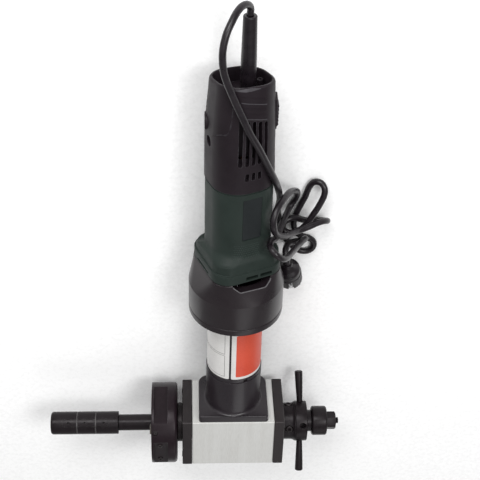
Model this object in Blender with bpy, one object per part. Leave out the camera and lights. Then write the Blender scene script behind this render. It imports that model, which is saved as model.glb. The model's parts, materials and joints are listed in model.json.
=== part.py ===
"""A portable pipe beveling machine, lying on its back as it lies on a bench.

Metres, +Z up. X runs along the spindle, from the pipe's side (-X) to the feed handles (+X).
Y runs along the column, from the gearbox's base up to the motor. The origin is the middle
of the gearbox's base face, at the level of the spindle and of the column.
"""
import math

import bmesh
import bpy
from mathutils import Euler, Matrix, Vector

# Gaps and cuts that the whole machine shares
FIT = 0.0003
RUNNING = 0.0004
OVERRUN = 0.002
EDGE = 0.0008
FLATNESS = 0.0005
ROUND_STEPS = 28
MIDDLE_STEPS = 24
INNER_STEPS = 20
SMALL_STEPS = 16

# Gearbox
GEARBOX_WIDTH = 0.100
GEARBOX_SIDE = 0.074
GEARBOX_BORE_RADIUS = 0.031
COLUMN_MOUTH_RADIUS = 0.0215
PLATE_THICKNESS = 0.012
PLATE_PROUD = 0.0005
LEFT_BEARING_RADIUS = 0.030
RIGHT_BEARING_RADIUS = 0.026
BEARING_DEPTH = 0.0095
PLATE_SCREW_INSET = 0.009
PLATE_SCREW_RADIUS = 0.003

# Spindle and bevel gears
SPINDLE_BORE_RADIUS = 0.0134
SPINDLE_BODY_RADIUS = 0.019
SPINDLE_LEFT_JOURNAL = 0.020
SPINDLE_RIGHT_JOURNAL = 0.0167
SPINDLE_SHOULDER_INSET = 0.016
NOSE_RADIUS = 0.024
NOSE_LENGTH = 0.0056
CROWN_TEETH = 24
PINION_TEETH = 8
BEVEL_MODULE = 0.0021875
BEVEL_FACE = 0.0055
CROWN_BACK = 0.021
CROWN_RIM_RADIUS = 0.0285

# Cutter head
HEAD_RADIUS = 0.0497
HEAD_THICKNESS = 0.0315
HEAD_BORE_RADIUS = 0.0125
HEAD_FILLET = 0.004
HEAD_STEPS = 40
HEAD_RIB_TURN = math.radians(149)
HEAD_FLATS = 4
HEAD_FLAT_DISTANCE = 0.0425
HEAD_FLAT_HALF_WIDTH = 0.026
HEAD_LIP = 0.003
HEAD_BAND = 0.0115
TOOL_WIDTH = 0.0084
TOOL_INNER_RADIUS = 0.0203
TOOL_OUTER_RADIUS = 0.0397
TOOL_PROUD = 0.002
TOOL_DEPTH = 0.010
TOOL_BEVEL = 0.003
TOOL_SCREW_RADIUS = 0.0026
TOOL_SCREW_SUNK = 0.0012

# Feed side
GUIDE_RADIUS = 0.0130
GUIDE_BORE_RADIUS = 0.0104
GUIDE_OVERHANG = 0.010
GUIDE_HUB_RADIUS = 0.0226
GUIDE_HUB_LENGTH = 0.0154
GUIDE_SPIGOT_RADIUS = 0.016
GUIDE_SPIGOT_LENGTH = 0.006
GUIDE_SCREW_RADIUS = 0.0042
GUIDE_SCREW_PROUD = 0.0016
GUIDE_SCREW_DEPTH = 0.007
GUIDE_SCREW_TURNS = (math.radians(70), math.radians(160))
HUB_RADIUS = 0.0249
HUB_LENGTH = 0.0147
HUB_BORE_RADIUS = 0.01035
HUB_COLLAR_RADIUS = 0.0134
HUB_COLLAR_LENGTH = 0.0062
HUB_HOLES = 4
HANDLE_TURN = math.radians(59)
HANDLE_HOLE_RADIUS = 0.0033
HANDLE_SEAT_RADIUS = 0.0145
HANDLE_STUB_RADIUS = 0.0030
HANDLE_ROOT_RADIUS = 0.0036
HANDLE_TIP_RADIUS = 0.0050
HANDLE_REACH = 0.0642
HANDLE_ROUNDING = 0.0014

# Mandrel, with the drawbar that spreads its grip blocks
SHAFT_RADIUS = 0.010
SHAFT_BORE_RADIUS = 0.0045
MANDREL_REACH = 0.1757
MANDREL_HEAD_RADIUS = 0.0141
MANDREL_HEAD_LENGTH = 0.0837
MANDREL_HEAD_BORE = 0.008
MANDREL_HEAD_WALL = 0.006
MANDREL_HEAD_ROUNDING = 0.003
MANDREL_SPIGOT_RADIUS = 0.0076
MANDREL_SPIGOT_LENGTH = 0.008
STUB_RADIUS = 0.009
STUB_LENGTH = 0.0185
KEY_WIDTH = 0.004
KEY_LENGTH = 0.030
KEY_INNER_RADIUS = 0.0082
KEY_OUTER_RADIUS = 0.0117
FEED_TRAVEL = 0.038
COLLAR_RADIUS = 0.0182
COLLAR_LENGTH = 0.019
COLLAR_CHAMFER = 0.0022
HEX_RADIUS = 0.0116
HEX_LENGTH = 0.0112
HEX_CHAMFER = 0.0016
DRAWBAR_RADIUS = 0.004
DRAWBAR_TIP = 0.0036
DRAWBAR_OVERHANG = 0.003
WEDGE_RADIUS = 0.0074
WEDGE_START_SHARES = (0.0455, 0.682)
WEDGE_SLOPE = 1 / 3
BLOCKS = 3
BLOCK_INSET = 0.0152
BLOCK_LENGTH = 0.055
BLOCK_WIDTH = 0.0086
BLOCK_TOP_RADIUS = 0.0134
BLOCK_FLOOR_RADIUS = 0.0046
BLOCK_FIRST_TURN = math.radians(134)
BLOCK_HOLE_SHARES = (0.127, 0.491, 0.918)
BLOCK_HOLE_RADIUS = 0.0011
BLOCK_HOLE_DEPTH = 0.003
RING_SHARES = (0.391, 0.665)
RING_MIDDLE_RADIUS = 0.0134
RING_WIRE_RADIUS = 0.0006
RING_GROOVE_DEPTH = 0.0016
BLOCK_GROOVE_DEPTH = 0.0036

# Column
FLANGE_WIDTH = 0.084
FLANGE_DEPTH = 0.072
FLANGE_THICKNESS = 0.0095
FLANGE_CORNER = 0.009
NECK_RADIUS = 0.0331
NECK_FOOT_RADIUS = 0.036
NECK_FOOT_HEIGHT = 0.004
NECK_LENGTH = 0.068
NECK_GROOVE_DROP = 0.0056
NECK_GROOVE_WIDTH = 0.0012
NECK_GROOVE_DEPTH = 0.0008
TUBE_RADIUS = 0.032
TUBE_SPIGOT_RADIUS = 0.027
TUBE_BORE_RADIUS = 0.0213
TUBE_SEAT_DEPTH = 0.042
TUBE_SHOWN = 0.0897
SHAFT_BEARING_BORE = 0.010
SHAFT_BEARING_WIDTH = 0.012
LOWER_SEAT_GAP = 0.004
UPPER_SEAT_DROP = 0.0097
DRIVE_RADIUS = 0.0097

# Bell, with the planetary gears between motor and drive shaft
BELL_RADIUS = 0.0538
BELL_BASE_HEIGHT = 0.0085
BELL_STRAIGHT = 0.0383
BELL_HEIGHT = 0.0683
BELL_TOP_HALF = 0.0415
BELL_TOP_CORNER = 0.0205
BELL_CHAMFER = 0.0012
BELL_MOUTH_RADIUS = 0.036
NOTCH_WIDTH = 0.044
NOTCH_DROP = 0.015
NOTCH_ROUNDING = 0.006
NOTCH_SHIFT = 0.006
GEAR_MODULE = 0.00218
SUN_TEETH = 9
PLANET_TEETH = 12
RING_TEETH = 33
PLANETS = 3
RING_GEAR_RADIUS = 0.042
RING_GEAR_ROOM = 0.006
RING_GEAR_WIDTH = 0.020
GEAR_WIDTH = 0.018
PLANET_BORE_RADIUS = 0.0043
PLANET_PIN_RADIUS = 0.0039
CARRIER_RADIUS = 0.0285
CARRIER_THICKNESS = 0.0045

# Motor
MOTOR_TURN = math.radians(23)
FLARE_HALF = 0.0405
FLARE_CORNER = 0.0212
FLARE_LIP_HEIGHT = 0.0085
FLARE_LIP = 0.0007
FLARE_STRAIGHT = 0.0237
FLARE_LENGTH = 0.0367
BARREL_HALF = 0.0345
BARREL_CORNER = 0.0290
BARREL_BORE_RADIUS = 0.0313
SEAM_DROP = 0.0407
MOTOR_WALL = 0.0105
FRONT_BEARING_RADIUS = 0.014
REAR_BEARING_RADIUS = 0.011
BEARING_WIDTH = 0.009
FLARE_SLOT_WIDTH = 0.0125
FLARE_SLOT_HEIGHT = 0.0036
FLARE_SLOT_DEPTH = 0.002
FLARE_SLOT_PITCH = 0.0165
FLARE_SLOT_SHIFT = 0.0085
CAP_HALF = 0.0354
CAP_CORNER = 0.0298
CAP_STRAIGHT = 0.0637
CAP_TAPER = 0.0545
CAP_RIM_HALF = 0.0312
CAP_RIM_CORNER = 0.0275
CAP_RIM_SLOPE = 0.165
CAP_WALL = 0.0026
CAP_ROUNDING = 0.003
CAP_CAVITY_RADIUS = 0.0312
CAP_REAR_CAVITY_RADIUS = 0.0280
BEARING_WALL_THICKNESS = 0.011
END_WALL_DROP = 0.0265
END_WALL_THICKNESS = 0.005
VENTS = 5
VENT_WIDTH = 0.0034
VENT_PITCH = math.radians(11.4)
VENT_MIDDLE_TURN = math.radians(-69.5)
VENT_DROP = 0.0055
VENT_LENGTH = 0.0535
SHORT_VENTS = 3
SHORT_VENT_GAP = 0.0172
SHORT_VENT_LENGTH = 0.009
SHORT_VENT_TURN = math.radians(-70.5)
SWITCH_LENGTH = 0.026
SWITCH_WIDTH = 0.011
SWITCH_PROUD = 0.0018
SWITCH_TRAVEL = 0.006
SWITCH_STEM_WIDTH = 0.005
SWITCH_BODY = (0.012, 0.024, 0.016)
ARMATURE_RADIUS = 0.005
CORE_RADIUS = 0.020
CORE_ROOM = 0.017
CORE_LENGTH = 0.044
STATOR_RADIUS = 0.031
STATOR_BORE_RADIUS = 0.0207
STATOR_OVERHANG = 0.003
COMMUTATOR_RADIUS = 0.012
COMMUTATOR_ROOM = 0.028
COMMUTATOR_WALL_ROOM = 0.013
COMMUTATOR_LENGTH = 0.022
FAN_RADIUS = 0.0295
FAN_HUB_RADIUS = 0.012
FAN_ROOM = 0.0082
FAN_WIDTH = 0.012
FAN_BLADES = 9
BRUSH_SIZE = (0.008, 0.006)
BRUSH_LENGTH = 0.012

# Cord and plug, laid beside the motor on the bench
BOOT_SHIFT = 0.006
BOOT_LENGTH = 0.0935
BOOT_RADIUS = 0.0078
BOOT_TIP_RADIUS = 0.0070
BOOT_NECK_RADIUS = 0.0045
CORD_RADIUS = 0.00365
CORD_RUN_STEP = 0.010
CORD_LOOP_STEP = 0.008
PLUG_FACE_PLACE = (0.0655, 0.238, -0.040)
PLUG_HEADING_SHARES = (0.15, -0.89, -0.42)
PLUG_LENGTH = 0.040
PLUG_DOME_LENGTH = 0.014
PLUG_RADIUS = 0.0145
PLUG_NECK_RADIUS = 0.0050
PLUG_NOTCH_WIDTH = 0.006
PLUG_NOTCH_DEPTH = 0.0024
PLUG_NOTCH_LENGTH = 0.017
PIN_RADIUS = 0.0024
PIN_LENGTH = 0.019
PIN_PITCH = 0.019
PIN_SEAT_DEPTH = 0.006

# The cord's route: from the boot over the motor's end and down beside it, then the loose loops
CORD_RUN = [
    (0.006, 0.608, 0.001), (0.002, 0.614, 0.007), (-0.005, 0.615, 0.017), (-0.012, 0.608, 0.028),
    (-0.018, 0.597, 0.036), (-0.021, 0.583, 0.04), (-0.021, 0.57, 0.041), (-0.019, 0.557, 0.041),
    (-0.015, 0.545, 0.041), (-0.01, 0.532, 0.041), (-0.004, 0.518, 0.042), (0.002, 0.504, 0.042),
    (0.008, 0.49, 0.041), (0.016, 0.474, 0.039), (0.024, 0.455, 0.035), (0.031, 0.437, 0.029),
    (0.037, 0.419, 0.02), (0.041, 0.402, 0.008), (0.044, 0.385, -0.006), (0.046, 0.367, -0.02),
    (0.046, 0.349, -0.033), (0.047, 0.332, -0.043), (0.05, 0.316, -0.049),
]
CORD_LOOPS = [
    (0.053, 0.302, -0.05), (0.059, 0.289, -0.05), (0.068, 0.278, -0.05), (0.079, 0.271, -0.05),
    (0.088, 0.273, -0.05), (0.092, 0.281, -0.05), (0.088, 0.289, -0.05), (0.08, 0.292, -0.05),
    (0.072, 0.297, -0.05), (0.067, 0.308, -0.05), (0.068, 0.323, -0.05), (0.073, 0.338, -0.05),
    (0.078, 0.352, -0.049), (0.081, 0.362, -0.05), (0.086, 0.371, -0.048), (0.094, 0.372, -0.044),
    (0.098, 0.364, -0.04), (0.093, 0.348, -0.037), (0.086, 0.335, -0.035), (0.08, 0.325, -0.033),
    (0.072, 0.316, -0.032), (0.063, 0.312, -0.032), (0.056, 0.313, -0.033), (0.052, 0.32, -0.035),
    (0.057, 0.326, -0.037), (0.065, 0.327, -0.041), (0.073, 0.323, -0.043), (0.081, 0.319, -0.046),
    (0.089, 0.317, -0.049), (0.096, 0.316, -0.05), (0.102, 0.319, -0.045), (0.103, 0.325, -0.037),
    (0.098, 0.33, -0.03), (0.09, 0.331, -0.025), (0.081, 0.33, -0.02), (0.069, 0.329, -0.014),
    (0.058, 0.334, -0.001), (0.049, 0.342, 0.013), (0.041, 0.352, 0.023), (0.037, 0.363, 0.028),
    (0.036, 0.375, 0.027), (0.04, 0.384, 0.02), (0.047, 0.388, 0.009), (0.054, 0.386, -0.006),
    (0.06, 0.379, -0.02), (0.066, 0.368, -0.034), (0.067, 0.356, -0.043), (0.065, 0.346, -0.048),
    (0.06, 0.338, -0.045), (0.056, 0.336, -0.035), (0.052, 0.336, -0.023), (0.048, 0.336, -0.011),
    (0.045, 0.336, 0), (0.041, 0.339, 0.012), (0.036, 0.343, 0.022), (0.033, 0.346, 0.032),
    (0.034, 0.347, 0.041), (0.04, 0.342, 0.046), (0.047, 0.334, 0.042), (0.053, 0.327, 0.031),
    (0.058, 0.321, 0.017), (0.063, 0.316, 0.004), (0.068, 0.311, -0.009), (0.074, 0.308, -0.021),
    (0.079, 0.304, -0.032), (0.077, 0.297, -0.038), (0.07, 0.294, -0.039), (0.065, 0.295, -0.037),
    (0.059, 0.296, -0.031), (0.056, 0.291, -0.022),
]

ALONG_X = Euler((0, math.pi / 2, 0))
ALONG_Y = Euler((-math.pi / 2, 0, 0))
SPINDLE_Y = GEARBOX_SIDE / 2
SPINDLE_AXIS = Vector((0, SPINDLE_Y, 0))
PLATE_INNER_X = GEARBOX_WIDTH / 2 + FIT
PLATE_OUTER_X = PLATE_INNER_X + PLATE_THICKNESS

# Places along the spindle
SPINDLE_RIGHT_SHOULDER = GEARBOX_WIDTH / 2 - SPINDLE_SHOULDER_INSET
GUIDE_LEFT_END = -GEARBOX_WIDTH / 2 - GUIDE_OVERHANG
KEY_START = GEARBOX_WIDTH / 2 - KEY_LENGTH
MANDREL_LEFT_END = -GEARBOX_WIDTH / 2 - MANDREL_REACH
BLOCK_LEFT = MANDREL_LEFT_END + BLOCK_INSET
DRAWBAR_LEFT_END = BLOCK_LEFT - DRAWBAR_OVERHANG
WEDGE_STARTS = [BLOCK_LEFT + share * BLOCK_LENGTH for share in WEDGE_START_SHARES]
BLOCK_HOLES = [BLOCK_LEFT + share * BLOCK_LENGTH for share in BLOCK_HOLE_SHARES]
RING_PLACES = [MANDREL_LEFT_END + share * MANDREL_HEAD_LENGTH for share in RING_SHARES]

# Places along the column, from the gearbox up to the bell
NECK_TOP = GEARBOX_SIDE + NECK_LENGTH
NECK_GROOVE = NECK_TOP - NECK_GROOVE_DROP
TUBE_FOOT = NECK_TOP - TUBE_SEAT_DEPTH
BELL_FOOT = NECK_TOP + TUBE_SHOWN
LOWER_SEAT = GEARBOX_SIDE + LOWER_SEAT_GAP
UPPER_SEAT = BELL_FOOT - UPPER_SEAT_DROP
BELL_CYLINDER_TOP = BELL_FOOT + BELL_STRAIGHT
BELL_TOP = BELL_FOOT + BELL_HEIGHT
RING_GEAR_FOOT = BELL_FOOT + BELL_BASE_HEIGHT + RING_GEAR_ROOM

# Places along the motor
MOTOR_FOOT = BELL_TOP + FIT
FLARE_SHOULDER = MOTOR_FOOT + FLARE_STRAIGHT
FLARE_TOP = MOTOR_FOOT + FLARE_LENGTH
FAN_FOOT = MOTOR_FOOT + MOTOR_WALL + FAN_ROOM
CORE_FOOT = FAN_FOOT + FAN_WIDTH + CORE_ROOM
COMMUTATOR_FOOT = CORE_FOOT + CORE_LENGTH + COMMUTATOR_ROOM
BEARING_WALL = COMMUTATOR_FOOT + COMMUTATOR_LENGTH + COMMUTATOR_WALL_ROOM
ARMATURE_END = BEARING_WALL + BEARING_WALL_THICKNESS + OVERRUN
SEAM = BEARING_WALL - SEAM_DROP
CAP_SHOULDER = SEAM + CAP_STRAIGHT
CAP_RIM = CAP_SHOULDER + CAP_TAPER
END_WALL = CAP_RIM - END_WALL_DROP
VENT_START = BEARING_WALL - VENT_DROP
VENT_END = VENT_START + VENT_LENGTH
SHORT_VENT_START = SEAM + SHORT_VENT_GAP
SHORT_VENT_END = SHORT_VENT_START + SHORT_VENT_LENGTH
SWITCH_FRONT = CAP_SHOULDER
BOOT_END = END_WALL + BOOT_LENGTH


def material(name, colour, roughness, metallic):
    """Return a plain Principled material."""
    made = bpy.data.materials.new(name)
    made.use_nodes = True
    shader = made.node_tree.nodes["Principled BSDF"]
    shader.inputs["Base Color"].default_value = (*colour, 1)
    shader.inputs["Roughness"].default_value = roughness
    shader.inputs["Metallic"].default_value = metallic
    return made


def link(name, bm, looks, place, rotation):
    """Make an object of a bmesh, with its faces pointing out, and shade it."""
    bmesh.ops.recalc_face_normals(bm, faces=bm.faces)
    mesh = bpy.data.meshes.new(name)
    bm.to_mesh(mesh)
    bm.free()
    mesh.shade_smooth()
    mesh.set_sharp_from_angle(angle=math.radians(35))
    made = bpy.data.objects.new(name, mesh)
    made.location = place
    made.rotation_euler = rotation
    bpy.context.scene.collection.objects.link(made)
    colour, roughness, metallic = looks
    made.data.materials.append(material(name + "_finish", colour, roughness, metallic))
    return made


def ring(bm, points):
    """Add one ring of vertices."""
    return [bm.verts.new(point) for point in points]


def skin(name, sections, looks, place=(0, 0, 0), rotation=(0, 0, 0), hollow=False):
    """Bridge sections of equally many points. A hollow one closes on itself, others get end caps."""
    bm = bmesh.new()
    rings = [ring(bm, section) for section in sections]
    pairs = list(zip(rings, rings[1:]))
    if hollow:
        pairs.append((rings[-1], rings[0]))
    else:
        bm.faces.new(rings[0])
        bm.faces.new(rings[-1])
    for low, high in pairs:
        count = len(low)
        for index in range(count):
            after = (index + 1) % count
            bm.faces.new((low[index], low[after], high[after], high[index]))
    bmesh.ops.connect_verts_nonplanar(bm, angle_limit=FLATNESS, faces=bm.faces)
    return link(name, bm, looks, place, rotation)


def section(half, corner, height, steps=ROUND_STEPS, turn=0.0, slope=0.0):
    """Points of a rounded square about local Z. With corner equal to half it is a circle."""
    points = []
    for index in range(steps):
        angle = (index + 0.5) * math.tau / steps
        quarter = math.pi / 4 + math.floor(4 * (index + 0.5) / steps) * math.pi / 2
        reach = (half - corner) * math.sqrt(2)
        x = reach * math.cos(quarter + turn) + corner * math.cos(angle + turn)
        y = reach * math.sin(quarter + turn) + corner * math.sin(angle + turn)
        points.append((x, y, height - slope * y))
    return points


def circle(radius, height, steps=ROUND_STEPS, turn=0.0):
    """Points of a circle about local Z."""
    return section(radius, radius, height, steps, turn)


def turned(name, profile, looks, place=(0, 0, 0), rotation=(0, 0, 0), steps=ROUND_STEPS,
           hollow=False):
    """A turned piece: its profile is a list of (height, radius) about local Z."""
    sections = [circle(radius, height, steps) for height, radius in profile]
    return skin(name, sections, looks, place, rotation, hollow)


def sleeve(name, low, high, bore, radius, looks, place, rotation):
    """A plain tube, for the bearings and other round pieces inside."""
    profile = [(low, bore), (high, bore), (high, radius), (low, radius)]
    return turned(name, profile, looks, place, rotation, INNER_STEPS, hollow=True)


def box(name, low, high, looks, place=(0, 0, 0), rotation=(0, 0, 0)):
    """A box between two corners, in local axes."""
    bm = bmesh.new()
    bmesh.ops.create_cube(bm, size=1.0)
    size = Vector(high) - Vector(low)
    middle = (Vector(high) + Vector(low)) / 2
    bmesh.ops.transform(bm, matrix=Matrix.Translation(middle) @ Matrix.Diagonal((*size, 1)),
                        verts=bm.verts)
    return link(name, bm, looks, place, rotation)


def prism(name, outline, low, high, looks, place=(0, 0, 0), rotation=(0, 0, 0)):
    """Extrude an outline of (x, y) points along local Z."""
    bm = bmesh.new()
    face = bm.faces.new([bm.verts.new((x, y, low)) for x, y in outline])
    raised = bmesh.ops.extrude_face_region(bm, geom=[face])["geom"]
    moved = [item for item in raised if isinstance(item, bmesh.types.BMVert)]
    bmesh.ops.translate(bm, vec=(0, 0, high - low), verts=moved)
    return link(name, bm, looks, place, rotation)


def bevelled(piece, width, segments=1):
    """Give a piece a bevel on its sharp edges."""
    bevel = piece.modifiers.new("edges", "BEVEL")
    bevel.width = width
    bevel.segments = segments
    bevel.limit_method = "ANGLE"
    return piece


def hidden(tool):
    """Mark an object as a cutter or guide."""
    tool.hide_render = True
    tool.display_type = "WIRE"
    return tool


def combine(piece, tool, operation="DIFFERENCE"):
    """Cut a piece with a tool, or join the tool to it."""
    step = piece.modifiers.new(tool.name, "BOOLEAN")
    step.operation = operation
    step.solver = "EXACT"
    step.object = hidden(tool)
    return piece


def around_x(turn, radius=0.0, along=0.0):
    """The place at a turn and radius about the spindle's axis, and the frame with local Z outward."""
    outward = Vector((0, math.sin(turn), -math.cos(turn)))
    place = SPINDLE_AXIS + outward * radius + Vector((along, 0, 0))
    frame = Matrix((Vector((1, 0, 0)), outward.cross(Vector((1, 0, 0))), outward)).transposed()
    return place, frame.to_euler()


def around_y(turn, radius=0.0, along=0.0):
    """The place at a turn and radius about the column's axis, and the frame with local Z outward."""
    outward = Vector((math.cos(turn), 0, -math.sin(turn)))
    place = outward * radius + Vector((0, along, 0))
    frame = Matrix((outward.cross(Vector((0, -1, 0))), Vector((0, 1, 0)), outward))
    return place, frame.transposed().to_euler()


BLACK_OXIDE = ((0.020, 0.019, 0.020), 0.42, 0.6)
GLOSS_BLACK = ((0.012, 0.011, 0.012), 0.22, 0.1)
PALE_NICKEL = ((0.56, 0.56, 0.54), 0.38, 0.25)
STEEL = ((0.45, 0.45, 0.46), 0.32, 1.0)
BRIGHT_STEEL = ((0.62, 0.62, 0.63), 0.22, 1.0)
CAST_BLACK = ((0.014, 0.013, 0.014), 0.35, 0.2)
BLACK_PLASTIC = ((0.022, 0.021, 0.023), 0.55, 0.0)
GREEN_PLASTIC = ((0.030, 0.055, 0.047), 0.48, 0.0)
BRASS = ((0.60, 0.44, 0.18), 0.35, 1.0)
COPPER = ((0.55, 0.27, 0.13), 0.4, 1.0)
LAMINATION = ((0.22, 0.22, 0.23), 0.5, 0.9)
CARBON = ((0.05, 0.05, 0.05), 0.7, 0.1)
RUBBER = ((0.018, 0.017, 0.018), 0.62, 0.0)
NYLON = ((0.48, 0.47, 0.43), 0.5, 0.0)
TOOL_STEEL = ((0.30, 0.28, 0.22), 0.35, 1.0)


def gear_outline(teeth, pitch_radius, addendum, dedendum, width_share, inward=False):
    """Yield (turn, offset) for four points a tooth. The first tooth's middle is at turn zero."""
    pitch = math.tau / teeth
    tip_share = width_share * 0.45
    root_share = width_share * 1.35
    sign = -1 if inward else 1
    for tooth in range(teeth):
        middle = tooth * pitch
        yield middle - root_share * pitch / 2, -sign * dedendum
        yield middle - tip_share * pitch / 2, sign * addendum
        yield middle + tip_share * pitch / 2, sign * addendum
        yield middle + root_share * pitch / 2, -sign * dedendum


GEAR_ADDENDUM_SHARE = 0.80
GEAR_DEDENDUM_SHARE = 1.05
TOOTH_WIDTH_SHARE = 0.40


def spur_ring(teeth, radius, module, height, phase=0.0, inward=False):
    """One toothed ring of points."""
    shape = gear_outline(teeth, radius, module * GEAR_ADDENDUM_SHARE,
                         module * GEAR_DEDENDUM_SHARE, TOOTH_WIDTH_SHARE, inward)
    return [
        ((radius + off) * math.cos(turn + phase), (radius + off) * math.sin(turn + phase), height)
        for turn, off in shape
    ]


def bevel_ring(teeth, pitch_radius, pitch_height, module, scale, phase=0.0):
    """A toothed ring on a bevel gear, whose pitch cone has its tip at the local origin."""
    length = math.hypot(pitch_radius, pitch_height)
    across = Vector((-pitch_radius / length, pitch_height / length))
    shape = gear_outline(teeth, pitch_radius, module * GEAR_ADDENDUM_SHARE,
                         module * GEAR_DEDENDUM_SHARE, TOOTH_WIDTH_SHARE)
    points = []
    for turn, off in shape:
        height = scale * (pitch_height + across.x * off)
        radius = scale * (pitch_radius + across.y * off)
        points.append((radius * math.cos(turn + phase), radius * math.sin(turn + phase), height))
    return points


def ring_at_turns(like, radius, height):
    """A plain ring with its points at the same turns as another ring's."""
    points = []
    for x, y, _ in like:
        turn = math.atan2(y, x)
        points.append((radius * math.cos(turn), radius * math.sin(turn), height))
    return points


def gearbox():
    """The bored gearbox housing with its two end plates."""
    half = GEARBOX_SIDE / 2
    housing = box("gearbox_housing", (-GEARBOX_WIDTH / 2, 0, -half),
                  (GEARBOX_WIDTH / 2, GEARBOX_SIDE, half), PALE_NICKEL)
    bevelled(housing, EDGE)
    reach = GEARBOX_WIDTH / 2 + OVERRUN
    bore = turned("spindle_bore_cutter", [(-reach, GEARBOX_BORE_RADIUS),
                                          (reach, GEARBOX_BORE_RADIUS)],
                  STEEL, SPINDLE_AXIS, ALONG_X)
    combine(housing, bore)
    mouth = turned("column_mouth_cutter", [(SPINDLE_Y, COLUMN_MOUTH_RADIUS),
                                           (GEARBOX_SIDE + OVERRUN, COLUMN_MOUTH_RADIUS)],
                   STEEL, (0, 0, 0), ALONG_Y)
    combine(housing, mouth)

    plate_half = half + PLATE_PROUD
    sides = (("end_plate_left", -1, LEFT_BEARING_RADIUS, SPINDLE_LEFT_JOURNAL),
             ("end_plate_right", 1, RIGHT_BEARING_RADIUS, GUIDE_RADIUS))
    for name, side, seat, shaft in sides:
        low, high = sorted((side * PLATE_INNER_X, side * PLATE_OUTER_X))
        plate = box(name, (low, 0, -plate_half),
                    (high, GEARBOX_SIDE + PLATE_PROUD, plate_half), BLACK_OXIDE)
        bevelled(plate, EDGE)
        seat_ends = sorted((side * (PLATE_INNER_X - OVERRUN),
                            side * (PLATE_INNER_X + BEARING_DEPTH + FIT)))
        combine(plate, turned(name + "_seat_cutter",
                              [(seat_ends[0], seat + FIT), (seat_ends[1], seat + FIT)],
                              STEEL, SPINDLE_AXIS, ALONG_X))
        lip_ends = sorted((side * PLATE_INNER_X, side * (PLATE_OUTER_X + OVERRUN)))
        combine(plate, turned(name + "_lip_cutter",
                              [(lip_ends[0], shaft + 2 * FIT), (lip_ends[1], shaft + 2 * FIT)],
                              STEEL, SPINDLE_AXIS, ALONG_X))


def spindle():
    """The hollow spindle with its crown gear and its two bearings."""
    journal_end = -(PLATE_INNER_X - FIT)
    neck = -(PLATE_OUTER_X + FIT)
    nose = neck - NOSE_LENGTH
    right_end = PLATE_INNER_X + BEARING_DEPTH - FIT
    turned("spindle", [
        (nose, SPINDLE_BORE_RADIUS), (nose, NOSE_RADIUS), (neck, NOSE_RADIUS),
        (neck, SPINDLE_LEFT_JOURNAL), (journal_end, SPINDLE_LEFT_JOURNAL),
        (journal_end, SPINDLE_BODY_RADIUS), (SPINDLE_RIGHT_SHOULDER, SPINDLE_BODY_RADIUS),
        (SPINDLE_RIGHT_SHOULDER, SPINDLE_RIGHT_JOURNAL), (right_end, SPINDLE_RIGHT_JOURNAL),
        (right_end, SPINDLE_BORE_RADIUS),
    ], STEEL, SPINDLE_AXIS, ALONG_X, MIDDLE_STEPS, hollow=True)
    sleeve("spindle_bearing_left", -(PLATE_INNER_X + BEARING_DEPTH), -(PLATE_INNER_X + FIT),
           SPINDLE_LEFT_JOURNAL + FIT, LEFT_BEARING_RADIUS, BRIGHT_STEEL, SPINDLE_AXIS, ALONG_X)
    sleeve("spindle_bearing_right", PLATE_INNER_X + FIT, PLATE_INNER_X + BEARING_DEPTH,
           SPINDLE_RIGHT_JOURNAL + FIT, RIGHT_BEARING_RADIUS, BRIGHT_STEEL, SPINDLE_AXIS, ALONG_X)

    crown_radius = BEVEL_MODULE * CROWN_TEETH / 2
    pinion_radius = BEVEL_MODULE * PINION_TEETH / 2
    cone = math.hypot(crown_radius, pinion_radius)
    inner = 1 - BEVEL_FACE / cone
    phase = math.pi / 2
    outer_teeth = bevel_ring(CROWN_TEETH, crown_radius, pinion_radius, BEVEL_MODULE, 1, phase)
    inner_teeth = bevel_ring(CROWN_TEETH, crown_radius, pinion_radius, BEVEL_MODULE, inner, phase)
    bore = SPINDLE_BODY_RADIUS + FIT
    face = max(point[2] for point in inner_teeth)
    skin("crown_gear", [
        outer_teeth, inner_teeth, ring_at_turns(inner_teeth, bore, face),
        ring_at_turns(inner_teeth, bore, CROWN_BACK),
        ring_at_turns(outer_teeth, CROWN_RIM_RADIUS - EDGE, CROWN_BACK),
    ], STEEL, SPINDLE_AXIS, ALONG_X, hollow=True)


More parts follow.
